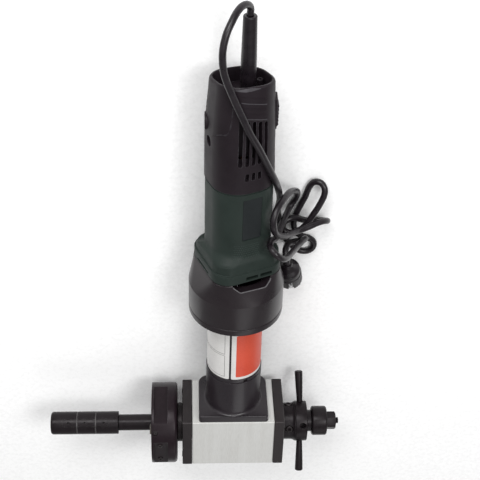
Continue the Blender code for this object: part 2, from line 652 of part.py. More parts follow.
def cutter_head():
    """The round head with four milled flats, and two tool bits with their screws."""
    right = -(PLATE_OUTER_X + 2 * FIT) - NOSE_LENGTH
    left = right - HEAD_THICKNESS
    head = turned("cutter_head", [
        (left, HEAD_BORE_RADIUS), (left, HEAD_RADIUS - EDGE), (left + EDGE, HEAD_RADIUS),
        (right - HEAD_FILLET, HEAD_RADIUS),
        (right - HEAD_FILLET * 0.3, HEAD_RADIUS - HEAD_FILLET * 0.3),
        (right, HEAD_RADIUS - HEAD_FILLET), (right, HEAD_BORE_RADIUS),
    ], CAST_BLACK, SPINDLE_AXIS, ALONG_X, HEAD_STEPS, hollow=True)
    for index in range(HEAD_FLATS):
        turn = HEAD_RIB_TURN - math.pi / 4 + index * math.tau / HEAD_FLATS
        place, frame = around_x(turn)
        combine(head, box("head_flat_cutter_%d" % index,
                          (left + HEAD_LIP, -HEAD_FLAT_HALF_WIDTH, HEAD_FLAT_DISTANCE),
                          (right - HEAD_BAND, HEAD_FLAT_HALF_WIDTH, HEAD_RADIUS + OVERRUN),
                          STEEL, place, frame))
    slot_floor = left + TOOL_DEPTH + FIT
    half = TOOL_WIDTH / 2
    for index, name in enumerate(("front", "rear")):
        turn = HEAD_RIB_TURN + index * math.pi
        place, frame = around_x(turn)
        combine(head, box("tool_slot_cutter_" + name,
                          (left - OVERRUN, -half - FIT, TOOL_INNER_RADIUS - FIT),
                          (slot_floor, half + FIT, TOOL_OUTER_RADIUS + FIT), STEEL, place, frame))
        middle = left + TOOL_DEPTH / 2
        hole = turned("tool_screw_cutter_" + name,
                      [(TOOL_OUTER_RADIUS, TOOL_SCREW_RADIUS + FIT),
                       (HEAD_RADIUS + OVERRUN, TOOL_SCREW_RADIUS + FIT)],
                      STEEL, place + Vector((middle, 0, 0)), frame, SMALL_STEPS)
        combine(head, hole)
        turned("tool_screw_" + name,
               [(TOOL_OUTER_RADIUS + 2 * FIT, TOOL_SCREW_RADIUS - EDGE / 2),
                (TOOL_OUTER_RADIUS + 2 * FIT + EDGE, TOOL_SCREW_RADIUS),
                (HEAD_RADIUS - TOOL_SCREW_SUNK, TOOL_SCREW_RADIUS)],
               BLACK_OXIDE, place + Vector((middle, 0, 0)), frame, SMALL_STEPS)
        tip = left - TOOL_PROUD
        heel = left + TOOL_DEPTH
        outline = [
            (tip, TOOL_INNER_RADIUS + TOOL_BEVEL), (tip, TOOL_OUTER_RADIUS - TOOL_BEVEL),
            (tip + TOOL_PROUD, TOOL_OUTER_RADIUS), (heel, TOOL_OUTER_RADIUS),
            (heel, TOOL_INNER_RADIUS), (tip + TOOL_PROUD, TOOL_INNER_RADIUS),
        ]
        bit_frame = frame.to_matrix() @ Matrix.Rotation(math.pi / 2, 3, "X")
        prism("tool_bit_" + name, outline, -half, half, TOOL_STEEL, place, bit_frame.to_euler())


def feed_side():
    """The guide sleeve that holds the mandrel, and the feed hub with its two handles."""
    hub_left = PLATE_OUTER_X + FIT
    hub_right = hub_left + GUIDE_HUB_LENGTH
    spigot_end = hub_right + GUIDE_SPIGOT_LENGTH
    guide = turned("guide_sleeve", [
        (GUIDE_LEFT_END, GUIDE_BORE_RADIUS), (GUIDE_LEFT_END, GUIDE_RADIUS),
        (hub_left, GUIDE_RADIUS), (hub_left, GUIDE_HUB_RADIUS),
        (hub_right - EDGE, GUIDE_HUB_RADIUS), (hub_right, GUIDE_HUB_RADIUS - EDGE),
        (hub_right, GUIDE_SPIGOT_RADIUS), (spigot_end, GUIDE_SPIGOT_RADIUS),
        (spigot_end, GUIDE_BORE_RADIUS),
    ], BLACK_OXIDE, SPINDLE_AXIS, ALONG_X, MIDDLE_STEPS, hollow=True)
    key_half = KEY_WIDTH / 2
    combine(guide, box("key_seat_cutter",
                       (KEY_START - FIT, -key_half - FIT, KEY_INNER_RADIUS),
                       (KEY_START + KEY_LENGTH + FIT, key_half + FIT, KEY_OUTER_RADIUS + FIT),
                       STEEL, *around_x(0)))
    box("mandrel_key", (KEY_START, -key_half, KEY_INNER_RADIUS),
        (KEY_START + KEY_LENGTH, key_half, KEY_OUTER_RADIUS), STEEL, *around_x(0))
    for index, turn in enumerate(GUIDE_SCREW_TURNS):
        middle = (hub_left + hub_right) / 2
        place, frame = around_x(turn, 0, middle)
        floor = GUIDE_HUB_RADIUS - GUIDE_SCREW_DEPTH
        combine(guide, turned("guide_screw_cutter_%d" % index,
                              [(floor - FIT, GUIDE_SCREW_RADIUS + FIT),
                               (GUIDE_HUB_RADIUS + OVERRUN, GUIDE_SCREW_RADIUS + FIT)],
                              STEEL, place, frame, SMALL_STEPS))
        turned("guide_screw_%d" % (index + 1), [
            (floor, GUIDE_SCREW_RADIUS), (GUIDE_HUB_RADIUS, GUIDE_SCREW_RADIUS),
            (GUIDE_HUB_RADIUS + GUIDE_SCREW_PROUD, GUIDE_SCREW_RADIUS * 0.7),
        ], BLACK_OXIDE, place, frame, SMALL_STEPS)

    feed_left = hub_right + FIT
    feed_right = feed_left + HUB_LENGTH
    counterbore = GUIDE_SPIGOT_RADIUS + RUNNING
    hub = turned("feed_hub", [
        (feed_left, counterbore), (feed_left, HUB_RADIUS - EDGE), (feed_left + EDGE, HUB_RADIUS),
        (feed_right - EDGE, HUB_RADIUS), (feed_right, HUB_RADIUS - EDGE),
        (feed_right, HUB_COLLAR_RADIUS), (feed_right + HUB_COLLAR_LENGTH, HUB_COLLAR_RADIUS),
        (feed_right + HUB_COLLAR_LENGTH, HUB_BORE_RADIUS), (spigot_end + FIT, HUB_BORE_RADIUS),
        (spigot_end + FIT, counterbore),
    ], BLACK_OXIDE, SPINDLE_AXIS, ALONG_X, MIDDLE_STEPS, hollow=True)
    middle = feed_left + HUB_LENGTH * 0.62
    for index in range(HUB_HOLES):
        place, frame = around_x(HANDLE_TURN + index * math.tau / HUB_HOLES, 0, middle)
        combine(hub, turned("handle_hole_cutter_%d" % index,
                            [(HANDLE_SEAT_RADIUS - FIT, HANDLE_HOLE_RADIUS),
                             (HUB_RADIUS + OVERRUN, HANDLE_HOLE_RADIUS)],
                            STEEL, place, frame, SMALL_STEPS))
    for index, name in enumerate(("rear", "front")):
        place, frame = around_x(HANDLE_TURN + index * math.pi, 0, middle)
        turned("feed_handle_" + name, [
            (HANDLE_SEAT_RADIUS, HANDLE_STUB_RADIUS), (HUB_RADIUS + FIT, HANDLE_STUB_RADIUS),
            (HUB_RADIUS + FIT, HANDLE_ROOT_RADIUS),
            (HANDLE_REACH - HANDLE_ROUNDING, HANDLE_TIP_RADIUS),
            (HANDLE_REACH, HANDLE_TIP_RADIUS - HANDLE_ROUNDING),
        ], BLACK_OXIDE, place, frame, SMALL_STEPS)
    return feed_right + HUB_COLLAR_LENGTH


def wedge_radius(along, start):
    """The drawbar's radius on a wedge that begins, at its widest, at start."""
    return max(DRAWBAR_RADIUS, WEDGE_RADIUS - (along - start) * WEDGE_SLOPE)


def mandrel(stop):
    """The mandrel with its drawbar and grip blocks. Its collar rests at stop, by the feed hub."""
    wedge_length = (WEDGE_RADIUS - DRAWBAR_RADIUS) / WEDGE_SLOPE
    head_right = MANDREL_LEFT_END + MANDREL_HEAD_LENGTH
    bore_left = MANDREL_LEFT_END + MANDREL_HEAD_WALL
    ring_groove = MANDREL_HEAD_RADIUS - RING_GROOVE_DEPTH
    groove_half = RING_WIRE_RADIUS + FIT
    profile = [(bore_left, MANDREL_HEAD_BORE), (head_right, MANDREL_HEAD_BORE),
               (head_right, MANDREL_HEAD_RADIUS)]
    for place in reversed(RING_PLACES):
        profile += [(place + groove_half, MANDREL_HEAD_RADIUS), (place + groove_half, ring_groove),
                    (place - groove_half, ring_groove), (place - groove_half, MANDREL_HEAD_RADIUS)]
    profile += [
        (MANDREL_LEFT_END + MANDREL_HEAD_ROUNDING, MANDREL_HEAD_RADIUS),
        (MANDREL_LEFT_END + MANDREL_HEAD_ROUNDING * 0.3,
         MANDREL_HEAD_RADIUS - MANDREL_HEAD_ROUNDING * 0.3),
        (MANDREL_LEFT_END, MANDREL_HEAD_RADIUS - MANDREL_HEAD_ROUNDING),
    ]
    head = turned("mandrel_head", profile, BLACK_OXIDE, SPINDLE_AXIS, ALONG_X, MIDDLE_STEPS)
    block_right = BLOCK_LEFT + BLOCK_LENGTH
    half = BLOCK_WIDTH / 2
    for index in range(BLOCKS):
        place, frame = around_x(BLOCK_FIRST_TURN + index * math.tau / BLOCKS)
        combine(head, box("block_slot_cutter_%d" % index,
                          (BLOCK_LEFT - FIT, -half - FIT, DRAWBAR_RADIUS),
                          (block_right + FIT, half + FIT, MANDREL_HEAD_RADIUS + OVERRUN),
                          STEEL, place, frame))

    stub_start = stop - FIT
    stub_end = stub_start + STUB_LENGTH
    shaft = turned("mandrel_shaft", [
        (head_right - MANDREL_SPIGOT_LENGTH, SHAFT_BORE_RADIUS),
        (head_right - MANDREL_SPIGOT_LENGTH, MANDREL_SPIGOT_RADIUS),
        (head_right + FIT, MANDREL_SPIGOT_RADIUS), (head_right + FIT, SHAFT_RADIUS),
        (stub_start, SHAFT_RADIUS), (stub_start, STUB_RADIUS), (stub_end, STUB_RADIUS),
        (stub_end, SHAFT_BORE_RADIUS),
    ], BLACK_OXIDE, SPINDLE_AXIS, ALONG_X, MIDDLE_STEPS, hollow=True)
    key_half = KEY_WIDTH / 2
    combine(shaft, box("keyway_cutter",
                       (KEY_START - FEED_TRAVEL - 2 * FIT, -key_half - FIT,
                        KEY_INNER_RADIUS - FIT),
                       (KEY_START + KEY_LENGTH + 2 * FIT, key_half + FIT, SHAFT_RADIUS + OVERRUN),
                       STEEL, *around_x(0)))

    collar_left = stop + FIT
    collar_right = collar_left + COLLAR_LENGTH
    turned("stop_collar", [
        (collar_left, STUB_RADIUS + FIT), (collar_left, COLLAR_RADIUS - COLLAR_CHAMFER),
        (collar_left + COLLAR_CHAMFER, COLLAR_RADIUS),
        (collar_right - COLLAR_CHAMFER, COLLAR_RADIUS),
        (collar_right, COLLAR_RADIUS - COLLAR_CHAMFER), (collar_right, DRAWBAR_RADIUS + 2 * FIT),
        (stub_end + FIT, DRAWBAR_RADIUS + 2 * FIT), (stub_end + FIT, STUB_RADIUS + FIT),
    ], BLACK_OXIDE, SPINDLE_AXIS, ALONG_X, MIDDLE_STEPS, hollow=True)

    nut_left = collar_right + FIT
    nut_right = nut_left + HEX_LENGTH
    sections = [(nut_left, DRAWBAR_RADIUS + FIT, 24), (nut_left, HEX_RADIUS, 6),
                (nut_right - HEX_CHAMFER, HEX_RADIUS, 6),
                (nut_right, HEX_RADIUS - HEX_CHAMFER, 6), (nut_right, DRAWBAR_RADIUS + FIT, 24)]
    rings = []
    for along, radius, sides in sections:
        points = []
        for index in range(24):
            turn = index * math.tau / 24
            spread = turn % (math.tau / sides) - math.pi / sides
            flat = math.cos(math.pi / sides) / math.cos(spread) if sides == 6 else 1
            points.append((radius * flat * math.cos(turn), radius * flat * math.sin(turn), along))
        rings.append(points)
    skin("drawbar_nut", rings, BLACK_OXIDE, SPINDLE_AXIS, ALONG_X, hollow=True)

    first, second = WEDGE_STARTS
    turned("drawbar", [
        (DRAWBAR_LEFT_END, WEDGE_RADIUS), (first, WEDGE_RADIUS),
        (first + wedge_length, DRAWBAR_RADIUS), (second, DRAWBAR_RADIUS), (second, WEDGE_RADIUS),
        (second + wedge_length, DRAWBAR_RADIUS), (nut_right + DRAWBAR_TIP - EDGE, DRAWBAR_RADIUS),
        (nut_right + DRAWBAR_TIP, DRAWBAR_RADIUS - EDGE),
    ], STEEL, SPINDLE_AXIS, ALONG_X, SMALL_STEPS)

    lift = FIT * 1.3
    low_left = wedge_radius(first, first) + (first - BLOCK_LEFT) * WEDGE_SLOPE + lift
    outline = [
        (BLOCK_LEFT, BLOCK_TOP_RADIUS), (BLOCK_LEFT, low_left),
        (first + wedge_length, DRAWBAR_RADIUS + lift),
        (first + wedge_length, BLOCK_FLOOR_RADIUS), (second - FIT, BLOCK_FLOOR_RADIUS),
        (second - FIT, WEDGE_RADIUS + FIT * WEDGE_SLOPE + lift),
        (second + wedge_length, DRAWBAR_RADIUS + lift),
        (second + wedge_length, BLOCK_FLOOR_RADIUS), (block_right, BLOCK_FLOOR_RADIUS),
        (block_right, BLOCK_TOP_RADIUS),
    ]
    for place in reversed(RING_PLACES):
        floor = BLOCK_TOP_RADIUS - BLOCK_GROOVE_DEPTH
        outline += [(place + groove_half, BLOCK_TOP_RADIUS), (place + groove_half, floor),
                    (place - groove_half, floor), (place - groove_half, BLOCK_TOP_RADIUS)]
    for index in range(BLOCKS):
        turn = BLOCK_FIRST_TURN + index * math.tau / BLOCKS
        place, frame = around_x(turn)
        side = frame.to_matrix() @ Matrix.Rotation(math.pi / 2, 3, "X")
        block = prism("grip_block_%d" % (index + 1), outline, -half, half, BLACK_OXIDE, place,
                      side.to_euler())
        for spot in BLOCK_HOLES:
            hole = turned("block_hole_cutter_%d" % index,
                          [(BLOCK_TOP_RADIUS - BLOCK_HOLE_DEPTH, BLOCK_HOLE_RADIUS),
                           (BLOCK_TOP_RADIUS + OVERRUN, BLOCK_HOLE_RADIUS)],
                          STEEL, place + Vector((spot, 0, 0)), frame, 8)
            combine(block, hole)

    for index, place in enumerate(RING_PLACES):
        middle = RING_MIDDLE_RADIUS
        turned("block_ring_%d" % (index + 1), [
            (place - RING_WIRE_RADIUS, middle), (place, middle + RING_WIRE_RADIUS),
            (place + RING_WIRE_RADIUS, middle), (place, middle - RING_WIRE_RADIUS),
        ], BRIGHT_STEEL, SPINDLE_AXIS, ALONG_X, MIDDLE_STEPS, hollow=True)


def column():
    """The flanged neck on the gearbox, the tube, and the drive shaft with its two bearings."""
    foot = GEARBOX_SIDE + FIT
    flange_top = foot + FLANGE_THICKNESS
    outline = []
    for index in range(ROUND_STEPS):
        angle = (index + 0.5) * math.tau / ROUND_STEPS
        x = math.copysign(FLANGE_WIDTH / 2 - FLANGE_CORNER, math.cos(angle))
        z = math.copysign(FLANGE_DEPTH / 2 - FLANGE_CORNER, math.sin(angle))
        outline.append((x + FLANGE_CORNER * math.cos(angle), z + FLANGE_CORNER * math.sin(angle)))
    seat = TUBE_SPIGOT_RADIUS + FIT
    groove = NECK_RADIUS - NECK_GROOVE_DEPTH
    profile = [
        (flange_top, NECK_FOOT_RADIUS), (flange_top + NECK_FOOT_HEIGHT * 0.3,
                                         (NECK_FOOT_RADIUS + NECK_RADIUS) / 2),
        (flange_top + NECK_FOOT_HEIGHT, NECK_RADIUS), (NECK_GROOVE, NECK_RADIUS),
        (NECK_GROOVE, groove), (NECK_GROOVE + NECK_GROOVE_WIDTH, groove),
        (NECK_GROOVE + NECK_GROOVE_WIDTH, NECK_RADIUS), (NECK_TOP, NECK_RADIUS), (NECK_TOP, seat),
        (TUBE_FOOT - FIT, seat), (TUBE_FOOT - FIT, TUBE_BORE_RADIUS), (foot, TUBE_BORE_RADIUS),
    ]
    sections = [[(x, y, height) for x, y in outline] for height in (foot, flange_top - EDGE)]
    inset = 1 - 2 * EDGE / FLANGE_WIDTH
    sections.append([(x * inset, y * inset, flange_top) for x, y in outline])
    sections += [circle(radius, height) for height, radius in profile]
    skin("column_socket", sections, GLOSS_BLACK, (0, 0, 0), ALONG_Y, hollow=True)

    turned("column_tube", [
        (TUBE_FOOT, TUBE_BORE_RADIUS), (TUBE_FOOT, TUBE_SPIGOT_RADIUS),
        (NECK_TOP + FIT, TUBE_SPIGOT_RADIUS), (NECK_TOP + FIT, TUBE_RADIUS),
        (BELL_FOOT - FIT, TUBE_RADIUS), (BELL_FOOT - FIT, TUBE_SPIGOT_RADIUS),
        (BELL_FOOT + BELL_BASE_HEIGHT, TUBE_SPIGOT_RADIUS),
        (BELL_FOOT + BELL_BASE_HEIGHT, TUBE_BORE_RADIUS),
    ], GLOSS_BLACK, (0, 0, 0), ALONG_Y, hollow=True)
    for name, start in (("shaft_bearing_lower", LOWER_SEAT), ("shaft_bearing_upper", UPPER_SEAT)):
        sleeve(name, start, start + SHAFT_BEARING_WIDTH, SHAFT_BEARING_BORE,
               TUBE_BORE_RADIUS - FIT, BRIGHT_STEEL, (0, 0, 0), ALONG_Y)

    crown_radius = BEVEL_MODULE * CROWN_TEETH / 2
    pinion_radius = BEVEL_MODULE * PINION_TEETH / 2
    inner = 1 - BEVEL_FACE / math.hypot(crown_radius, pinion_radius)
    phase = math.pi / PINION_TEETH
    small = bevel_ring(PINION_TEETH, pinion_radius, crown_radius, BEVEL_MODULE, inner, phase)
    large = bevel_ring(PINION_TEETH, pinion_radius, crown_radius, BEVEL_MODULE, 1, phase)
    carrier_top = RING_GEAR_FOOT - RUNNING
    shaft_top = carrier_top - SPINDLE_Y - FIT
    small_face = min(point[2] for point in small)
    large_face = max(point[2] for point in large)
    skin("pinion_shaft", [
        ring_at_turns(small, pinion_radius * 0.4, small_face), small, large,
        ring_at_turns(large, DRIVE_RADIUS, large_face + EDGE),
        ring_at_turns(large, DRIVE_RADIUS, shaft_top),
    ], STEEL, SPINDLE_AXIS, ALONG_Y)
    return carrier_top


def planetary(carrier_top):
    """The bell in two pieces, and the planetary gears inside it."""
    base_top = BELL_FOOT + BELL_BASE_HEIGHT
    turned("bell_base", [
        (BELL_FOOT, TUBE_SPIGOT_RADIUS + FIT), (BELL_FOOT, BELL_RADIUS - BELL_CHAMFER),
        (BELL_FOOT + BELL_CHAMFER, BELL_RADIUS), (base_top - EDGE, BELL_RADIUS),
        (base_top, BELL_RADIUS - EDGE), (base_top, TUBE_SPIGOT_RADIUS + FIT),
    ], GLOSS_BLACK, (0, 0, 0), ALONG_Y, hollow=True)
    bell_low = base_top + FIT
    cavity = RING_GEAR_RADIUS + FIT
    cavity_top = RING_GEAR_FOOT + RING_GEAR_WIDTH + FIT
    turn = MOTOR_TURN
    bell = skin("bell_adapter", [
        circle(cavity, bell_low, turn=turn), circle(BELL_RADIUS - EDGE, bell_low, turn=turn),
        circle(BELL_RADIUS, bell_low + EDGE, turn=turn),
        circle(BELL_RADIUS, BELL_CYLINDER_TOP, turn=turn),
        section(BELL_TOP_HALF, BELL_TOP_CORNER, BELL_TOP, turn=turn),
        circle(BELL_MOUTH_RADIUS, BELL_TOP, turn=turn),
        circle(BELL_MOUTH_RADIUS, cavity_top, turn=turn), circle(cavity, cavity_top, turn=turn),
    ], GLOSS_BLACK, (0, 0, 0), ALONG_Y, hollow=True)
    place, frame = around_y(MOTOR_TURN - math.pi / 2)
    low = BELL_TOP - NOTCH_DROP
    left, right = NOTCH_SHIFT - NOTCH_WIDTH / 2, NOTCH_SHIFT + NOTCH_WIDTH / 2
    top = BELL_TOP + OVERRUN
    outline = [(left, top), (left, low + NOTCH_ROUNDING), (left + NOTCH_ROUNDING, low),
               (right - NOTCH_ROUNDING, low), (right, low + NOTCH_ROUNDING), (right, top)]
    combine(bell, prism("bell_notch_cutter", outline, BELL_MOUTH_RADIUS / 2,
                        BELL_RADIUS + OVERRUN, STEEL, place, frame))

    ring_radius = GEAR_MODULE * RING_TEETH / 2
    ring_top = RING_GEAR_FOOT + RING_GEAR_WIDTH
    low_teeth = spur_ring(RING_TEETH, ring_radius, GEAR_MODULE, RING_GEAR_FOOT, 0, True)
    high_teeth = spur_ring(RING_TEETH, ring_radius, GEAR_MODULE, ring_top, 0, True)
    skin("ring_gear", [
        low_teeth, ring_at_turns(low_teeth, RING_GEAR_RADIUS - 2 * FIT, RING_GEAR_FOOT),
        ring_at_turns(low_teeth, RING_GEAR_RADIUS - 2 * FIT, ring_top), high_teeth,
    ], STEEL, (0, 0, 0), ALONG_Y, hollow=True)

    distance = GEAR_MODULE * (SUN_TEETH + PLANET_TEETH) / 2
    planet_radius = GEAR_MODULE * PLANET_TEETH / 2
    gear_foot = RING_GEAR_FOOT + (RING_GEAR_WIDTH - GEAR_WIDTH) / 2
    gear_top = gear_foot + GEAR_WIDTH
    carrier = turned("planet_carrier", [
        (carrier_top - CARRIER_THICKNESS, DRIVE_RADIUS + FIT),
        (carrier_top - CARRIER_THICKNESS, CARRIER_RADIUS), (carrier_top, CARRIER_RADIUS),
        (carrier_top, DRIVE_RADIUS + FIT),
    ], STEEL, (0, 0, 0), ALONG_Y, MIDDLE_STEPS, hollow=True)
    for index in range(PLANETS):
        turn = index * math.tau / PLANETS
        place = Vector((distance * math.cos(turn), 0, -distance * math.sin(turn)))
        pin = turned("planet_pin_guide_%d" % index,
                     [(carrier_top - CARRIER_THICKNESS / 2, PLANET_PIN_RADIUS),
                      (gear_top, PLANET_PIN_RADIUS)], STEEL, place, ALONG_Y, SMALL_STEPS)
        combine(carrier, pin, "UNION")
        sun_share = (-turn * SUN_TEETH / math.tau) % 1
        phase = turn + math.pi + (0.5 - sun_share) * math.tau / PLANET_TEETH
        low_ring = spur_ring(PLANET_TEETH, planet_radius, GEAR_MODULE, gear_foot, phase)
        high_ring = spur_ring(PLANET_TEETH, planet_radius, GEAR_MODULE, gear_top, phase)
        skin("planet_gear_%d" % (index + 1), [
            low_ring, ring_at_turns(low_ring, PLANET_BORE_RADIUS, gear_foot),
            ring_at_turns(high_ring, PLANET_BORE_RADIUS, gear_top), high_ring,
        ], STEEL, place, ALONG_Y, hollow=True)
    return gear_foot, gear_top


def motor(gear_foot, gear_top):
    """The motor's two housings and what turns and switches inside them."""
    turn = MOTOR_TURN
    lip_top = MOTOR_FOOT + FLARE_LIP_HEIGHT
    wall_top = MOTOR_FOOT + MOTOR_WALL
    lip_half = FLARE_HALF + FLARE_LIP
    blend_half = (FLARE_HALF + BARREL_HALF) / 2
    blend_corner = (FLARE_CORNER + BARREL_CORNER) / 2
    seat = FRONT_BEARING_RADIUS + FIT
    housing = skin("motor_housing", [
        circle(seat, MOTOR_FOOT, turn=turn),
        section(lip_half, FLARE_CORNER, MOTOR_FOOT, turn=turn),
        section(lip_half, FLARE_CORNER, lip_top, turn=turn),
        section(FLARE_HALF, FLARE_CORNER, lip_top + FLARE_LIP, turn=turn),
        section(FLARE_HALF - FLARE_LIP, FLARE_CORNER, FLARE_SHOULDER, turn=turn),
        section(FLARE_HALF - 3 * FLARE_LIP, FLARE_CORNER, FLARE_SHOULDER + 5 * FLARE_LIP, turn=turn),
        section(blend_half, blend_corner, FLARE_TOP - 7 * FLARE_LIP, turn=turn),
        section(BARREL_HALF, BARREL_CORNER, FLARE_TOP, turn=turn),
        section(BARREL_HALF, BARREL_CORNER, SEAM - FIT, turn=turn),
        circle(BARREL_BORE_RADIUS, SEAM - FIT, turn=turn),
        circle(BARREL_BORE_RADIUS, wall_top, turn=turn), circle(seat, wall_top, turn=turn),
    ], GREEN_PLASTIC, (0, 0, 0), ALONG_Y, hollow=True)
    for index, shift in enumerate((-FLARE_SLOT_PITCH / 2, FLARE_SLOT_PITCH / 2)):
        place, frame = around_y(MOTOR_TURN - math.pi / 2)
        middle = FLARE_SLOT_SHIFT + shift
        low = (MOTOR_FOOT + lip_top) / 2 - FLARE_SLOT_HEIGHT / 2
        combine(housing, box("flare_slot_cutter_%d" % index,
                             (middle - FLARE_SLOT_WIDTH / 2, low, lip_half - FLARE_SLOT_DEPTH),
                             (middle + FLARE_SLOT_WIDTH / 2, low + FLARE_SLOT_HEIGHT,
                              lip_half + OVERRUN), STEEL, place, frame))

    wall_low = BEARING_WALL
    wall_high = BEARING_WALL + BEARING_WALL_THICKNESS
    rear_seat = REAR_BEARING_RADIUS + FIT
    end_high = END_WALL + END_WALL_THICKNESS
    rim_low = CAP_RIM - CAP_ROUNDING
    inner_half = CAP_RIM_HALF - CAP_WALL
    inner_corner = CAP_RIM_CORNER - CAP_WALL
    boot_hole = BOOT_NECK_RADIUS + FIT
    shift = Vector((BOOT_SHIFT, 0, 0))
    hole = circle(boot_hole, 0, turn=turn)

    def off_axis(height):
        return [(x + shift.x, y + shift.y, height) for x, y, _ in hole]

    cap = skin("rear_cap", [
        circle(CAP_CAVITY_RADIUS, SEAM, turn=turn),
        section(CAP_HALF, CAP_CORNER, SEAM, turn=turn),
        section(CAP_HALF, CAP_CORNER, CAP_SHOULDER, turn=turn),
        section(CAP_RIM_HALF, CAP_RIM_CORNER, rim_low, turn=turn, slope=CAP_RIM_SLOPE),
        section(CAP_RIM_HALF - CAP_WALL / 2, CAP_RIM_CORNER - CAP_WALL / 2, CAP_RIM, turn=turn,
                slope=CAP_RIM_SLOPE),
        section(inner_half, inner_corner, rim_low, turn=turn, slope=CAP_RIM_SLOPE),
        section(inner_half - EDGE, inner_corner - EDGE, end_high, turn=turn),
        off_axis(end_high), off_axis(END_WALL),
        circle(CAP_REAR_CAVITY_RADIUS, END_WALL, turn=turn),
        circle(CAP_REAR_CAVITY_RADIUS, wall_high, turn=turn),
        circle(rear_seat, wall_high, turn=turn), circle(rear_seat, wall_low, turn=turn),
        circle(CAP_CAVITY_RADIUS, wall_low, turn=turn),
    ], BLACK_PLASTIC, (0, 0, 0), ALONG_Y, hollow=True)
    vents = [(VENT_MIDDLE_TURN + (index - (VENTS - 1) / 2) * VENT_PITCH, VENT_START, VENT_END)
             for index in range(VENTS)]
    vents += [(SHORT_VENT_TURN + (index - (SHORT_VENTS - 1) / 2) * VENT_PITCH,
               SHORT_VENT_START, SHORT_VENT_END) for index in range(SHORT_VENTS)]
    for index, (angle, low, high) in enumerate(vents):
        for side in range(2 if index < VENTS else 1):
            place, frame = around_y(angle + side * math.pi)
            cutter = box("vent_cutter_%d_%d" % (index, side),
                         (-VENT_WIDTH / 2, low, CAP_REAR_CAVITY_RADIUS - OVERRUN),
                         (VENT_WIDTH / 2, high, CAP_HALF + CAP_WALL), STEEL, place, frame)
            combine(cap, cutter)

    place, frame = around_y(0)
    switch_high = SWITCH_FRONT + SWITCH_LENGTH
    half = SWITCH_WIDTH / 2
    stem_half = SWITCH_STEM_WIDTH / 2
    stem_low = SWITCH_FRONT + SWITCH_LENGTH / 3
    stem_high = SWITCH_FRONT + SWITCH_LENGTH / 2
    wall_reach = CAP_HALF
    combine(cap, box("switch_slot_cutter",
                     (-stem_half - FIT, stem_low - FIT, CAP_REAR_CAVITY_RADIUS - OVERRUN),
                     (stem_half + FIT, stem_high + SWITCH_TRAVEL + FIT, CAP_HALF + CAP_WALL),
                     STEEL, place, frame))
    button = box("slide_switch", (-half, SWITCH_FRONT, wall_reach + SWITCH_PROUD),
                 (half, switch_high, wall_reach + 2 * SWITCH_PROUD), BLACK_PLASTIC, place, frame)
    stem = box("switch_stem_guide", (-stem_half, stem_low, CAP_REAR_CAVITY_RADIUS - OVERRUN),
               (stem_half, stem_high, wall_reach + 1.5 * SWITCH_PROUD), STEEL, place, frame)
    combine(button, stem, "UNION")
    depth, length, width = SWITCH_BODY
    top = CAP_REAR_CAVITY_RADIUS - OVERRUN - FIT
    box("switch_body", (-width / 2, SWITCH_FRONT, top - depth),
        (width / 2, SWITCH_FRONT + length, top), BLACK_PLASTIC, place, frame)

    sun_radius = GEAR_MODULE * SUN_TEETH / 2
    low_teeth = spur_ring(SUN_TEETH, sun_radius, GEAR_MODULE, gear_foot)
    high_teeth = spur_ring(SUN_TEETH, sun_radius, GEAR_MODULE, gear_top)
    skin("armature_shaft", [
        low_teeth, high_teeth, ring_at_turns(high_teeth, ARMATURE_RADIUS, gear_top),
        ring_at_turns(high_teeth, ARMATURE_RADIUS, ARMATURE_END),
    ], STEEL, (0, 0, 0), ALONG_Y)
    bore = ARMATURE_RADIUS + FIT
    core_top = CORE_FOOT + CORE_LENGTH
    sleeve("armature_core", CORE_FOOT, core_top, bore, CORE_RADIUS, LAMINATION, (0, 0, 0), ALONG_Y)
    sleeve("stator", CORE_FOOT - STATOR_OVERHANG, core_top + STATOR_OVERHANG, STATOR_BORE_RADIUS,
           STATOR_RADIUS - FIT, LAMINATION, (0, 0, 0), ALONG_Y)
    sleeve("commutator", COMMUTATOR_FOOT, COMMUTATOR_FOOT + COMMUTATOR_LENGTH, bore,
           COMMUTATOR_RADIUS, COPPER, (0, 0, 0), ALONG_Y)
    bearings = (("motor_bearing_front", MOTOR_FOOT + FIT, FRONT_BEARING_RADIUS),
                ("motor_bearing_rear", wall_low + FIT, REAR_BEARING_RADIUS))
    for name, start, radius in bearings:
        sleeve(name, start, start + BEARING_WIDTH, bore, radius, BRIGHT_STEEL, (0, 0, 0), ALONG_Y)
    blade_steps = 4 * FAN_BLADES
    fan_rings = []
    for height in (FAN_FOOT, FAN_FOOT + FAN_WIDTH):
        points = []
        for index in range(blade_steps):
            angle = index * math.tau / blade_steps
            radius = FAN_RADIUS if index % 4 in (1, 2) else FAN_HUB_RADIUS
            if index % 4 in (1, 2):
                angle = (index - index % 4 + 1.5) * math.tau / blade_steps
                angle += (index % 4 - 1.5) * math.tau / blade_steps / 5
            points.append((radius * math.cos(angle), radius * math.sin(angle), height))
        fan_rings.append(points)
    skin("cooling_fan", [
        fan_rings[0], ring_at_turns(fan_rings[0], bore, FAN_FOOT),
        ring_at_turns(fan_rings[1], bore, FAN_FOOT + FAN_WIDTH), fan_rings[1],
    ], NYLON, (0, 0, 0), ALONG_Y, hollow=True)
    brush_wide, brush_thick = BRUSH_SIZE
    brush_low = COMMUTATOR_FOOT + (COMMUTATOR_LENGTH - brush_wide) / 2
    for name, angle in (("carbon_brush_left", math.pi), ("carbon_brush_right", 0)):
        place, frame = around_y(angle)
        box(name, (-brush_thick / 2, brush_low, COMMUTATOR_RADIUS + FIT),
            (brush_thick / 2, brush_low + brush_wide, COMMUTATOR_RADIUS + BRUSH_LENGTH), CARBON,
            place, frame)


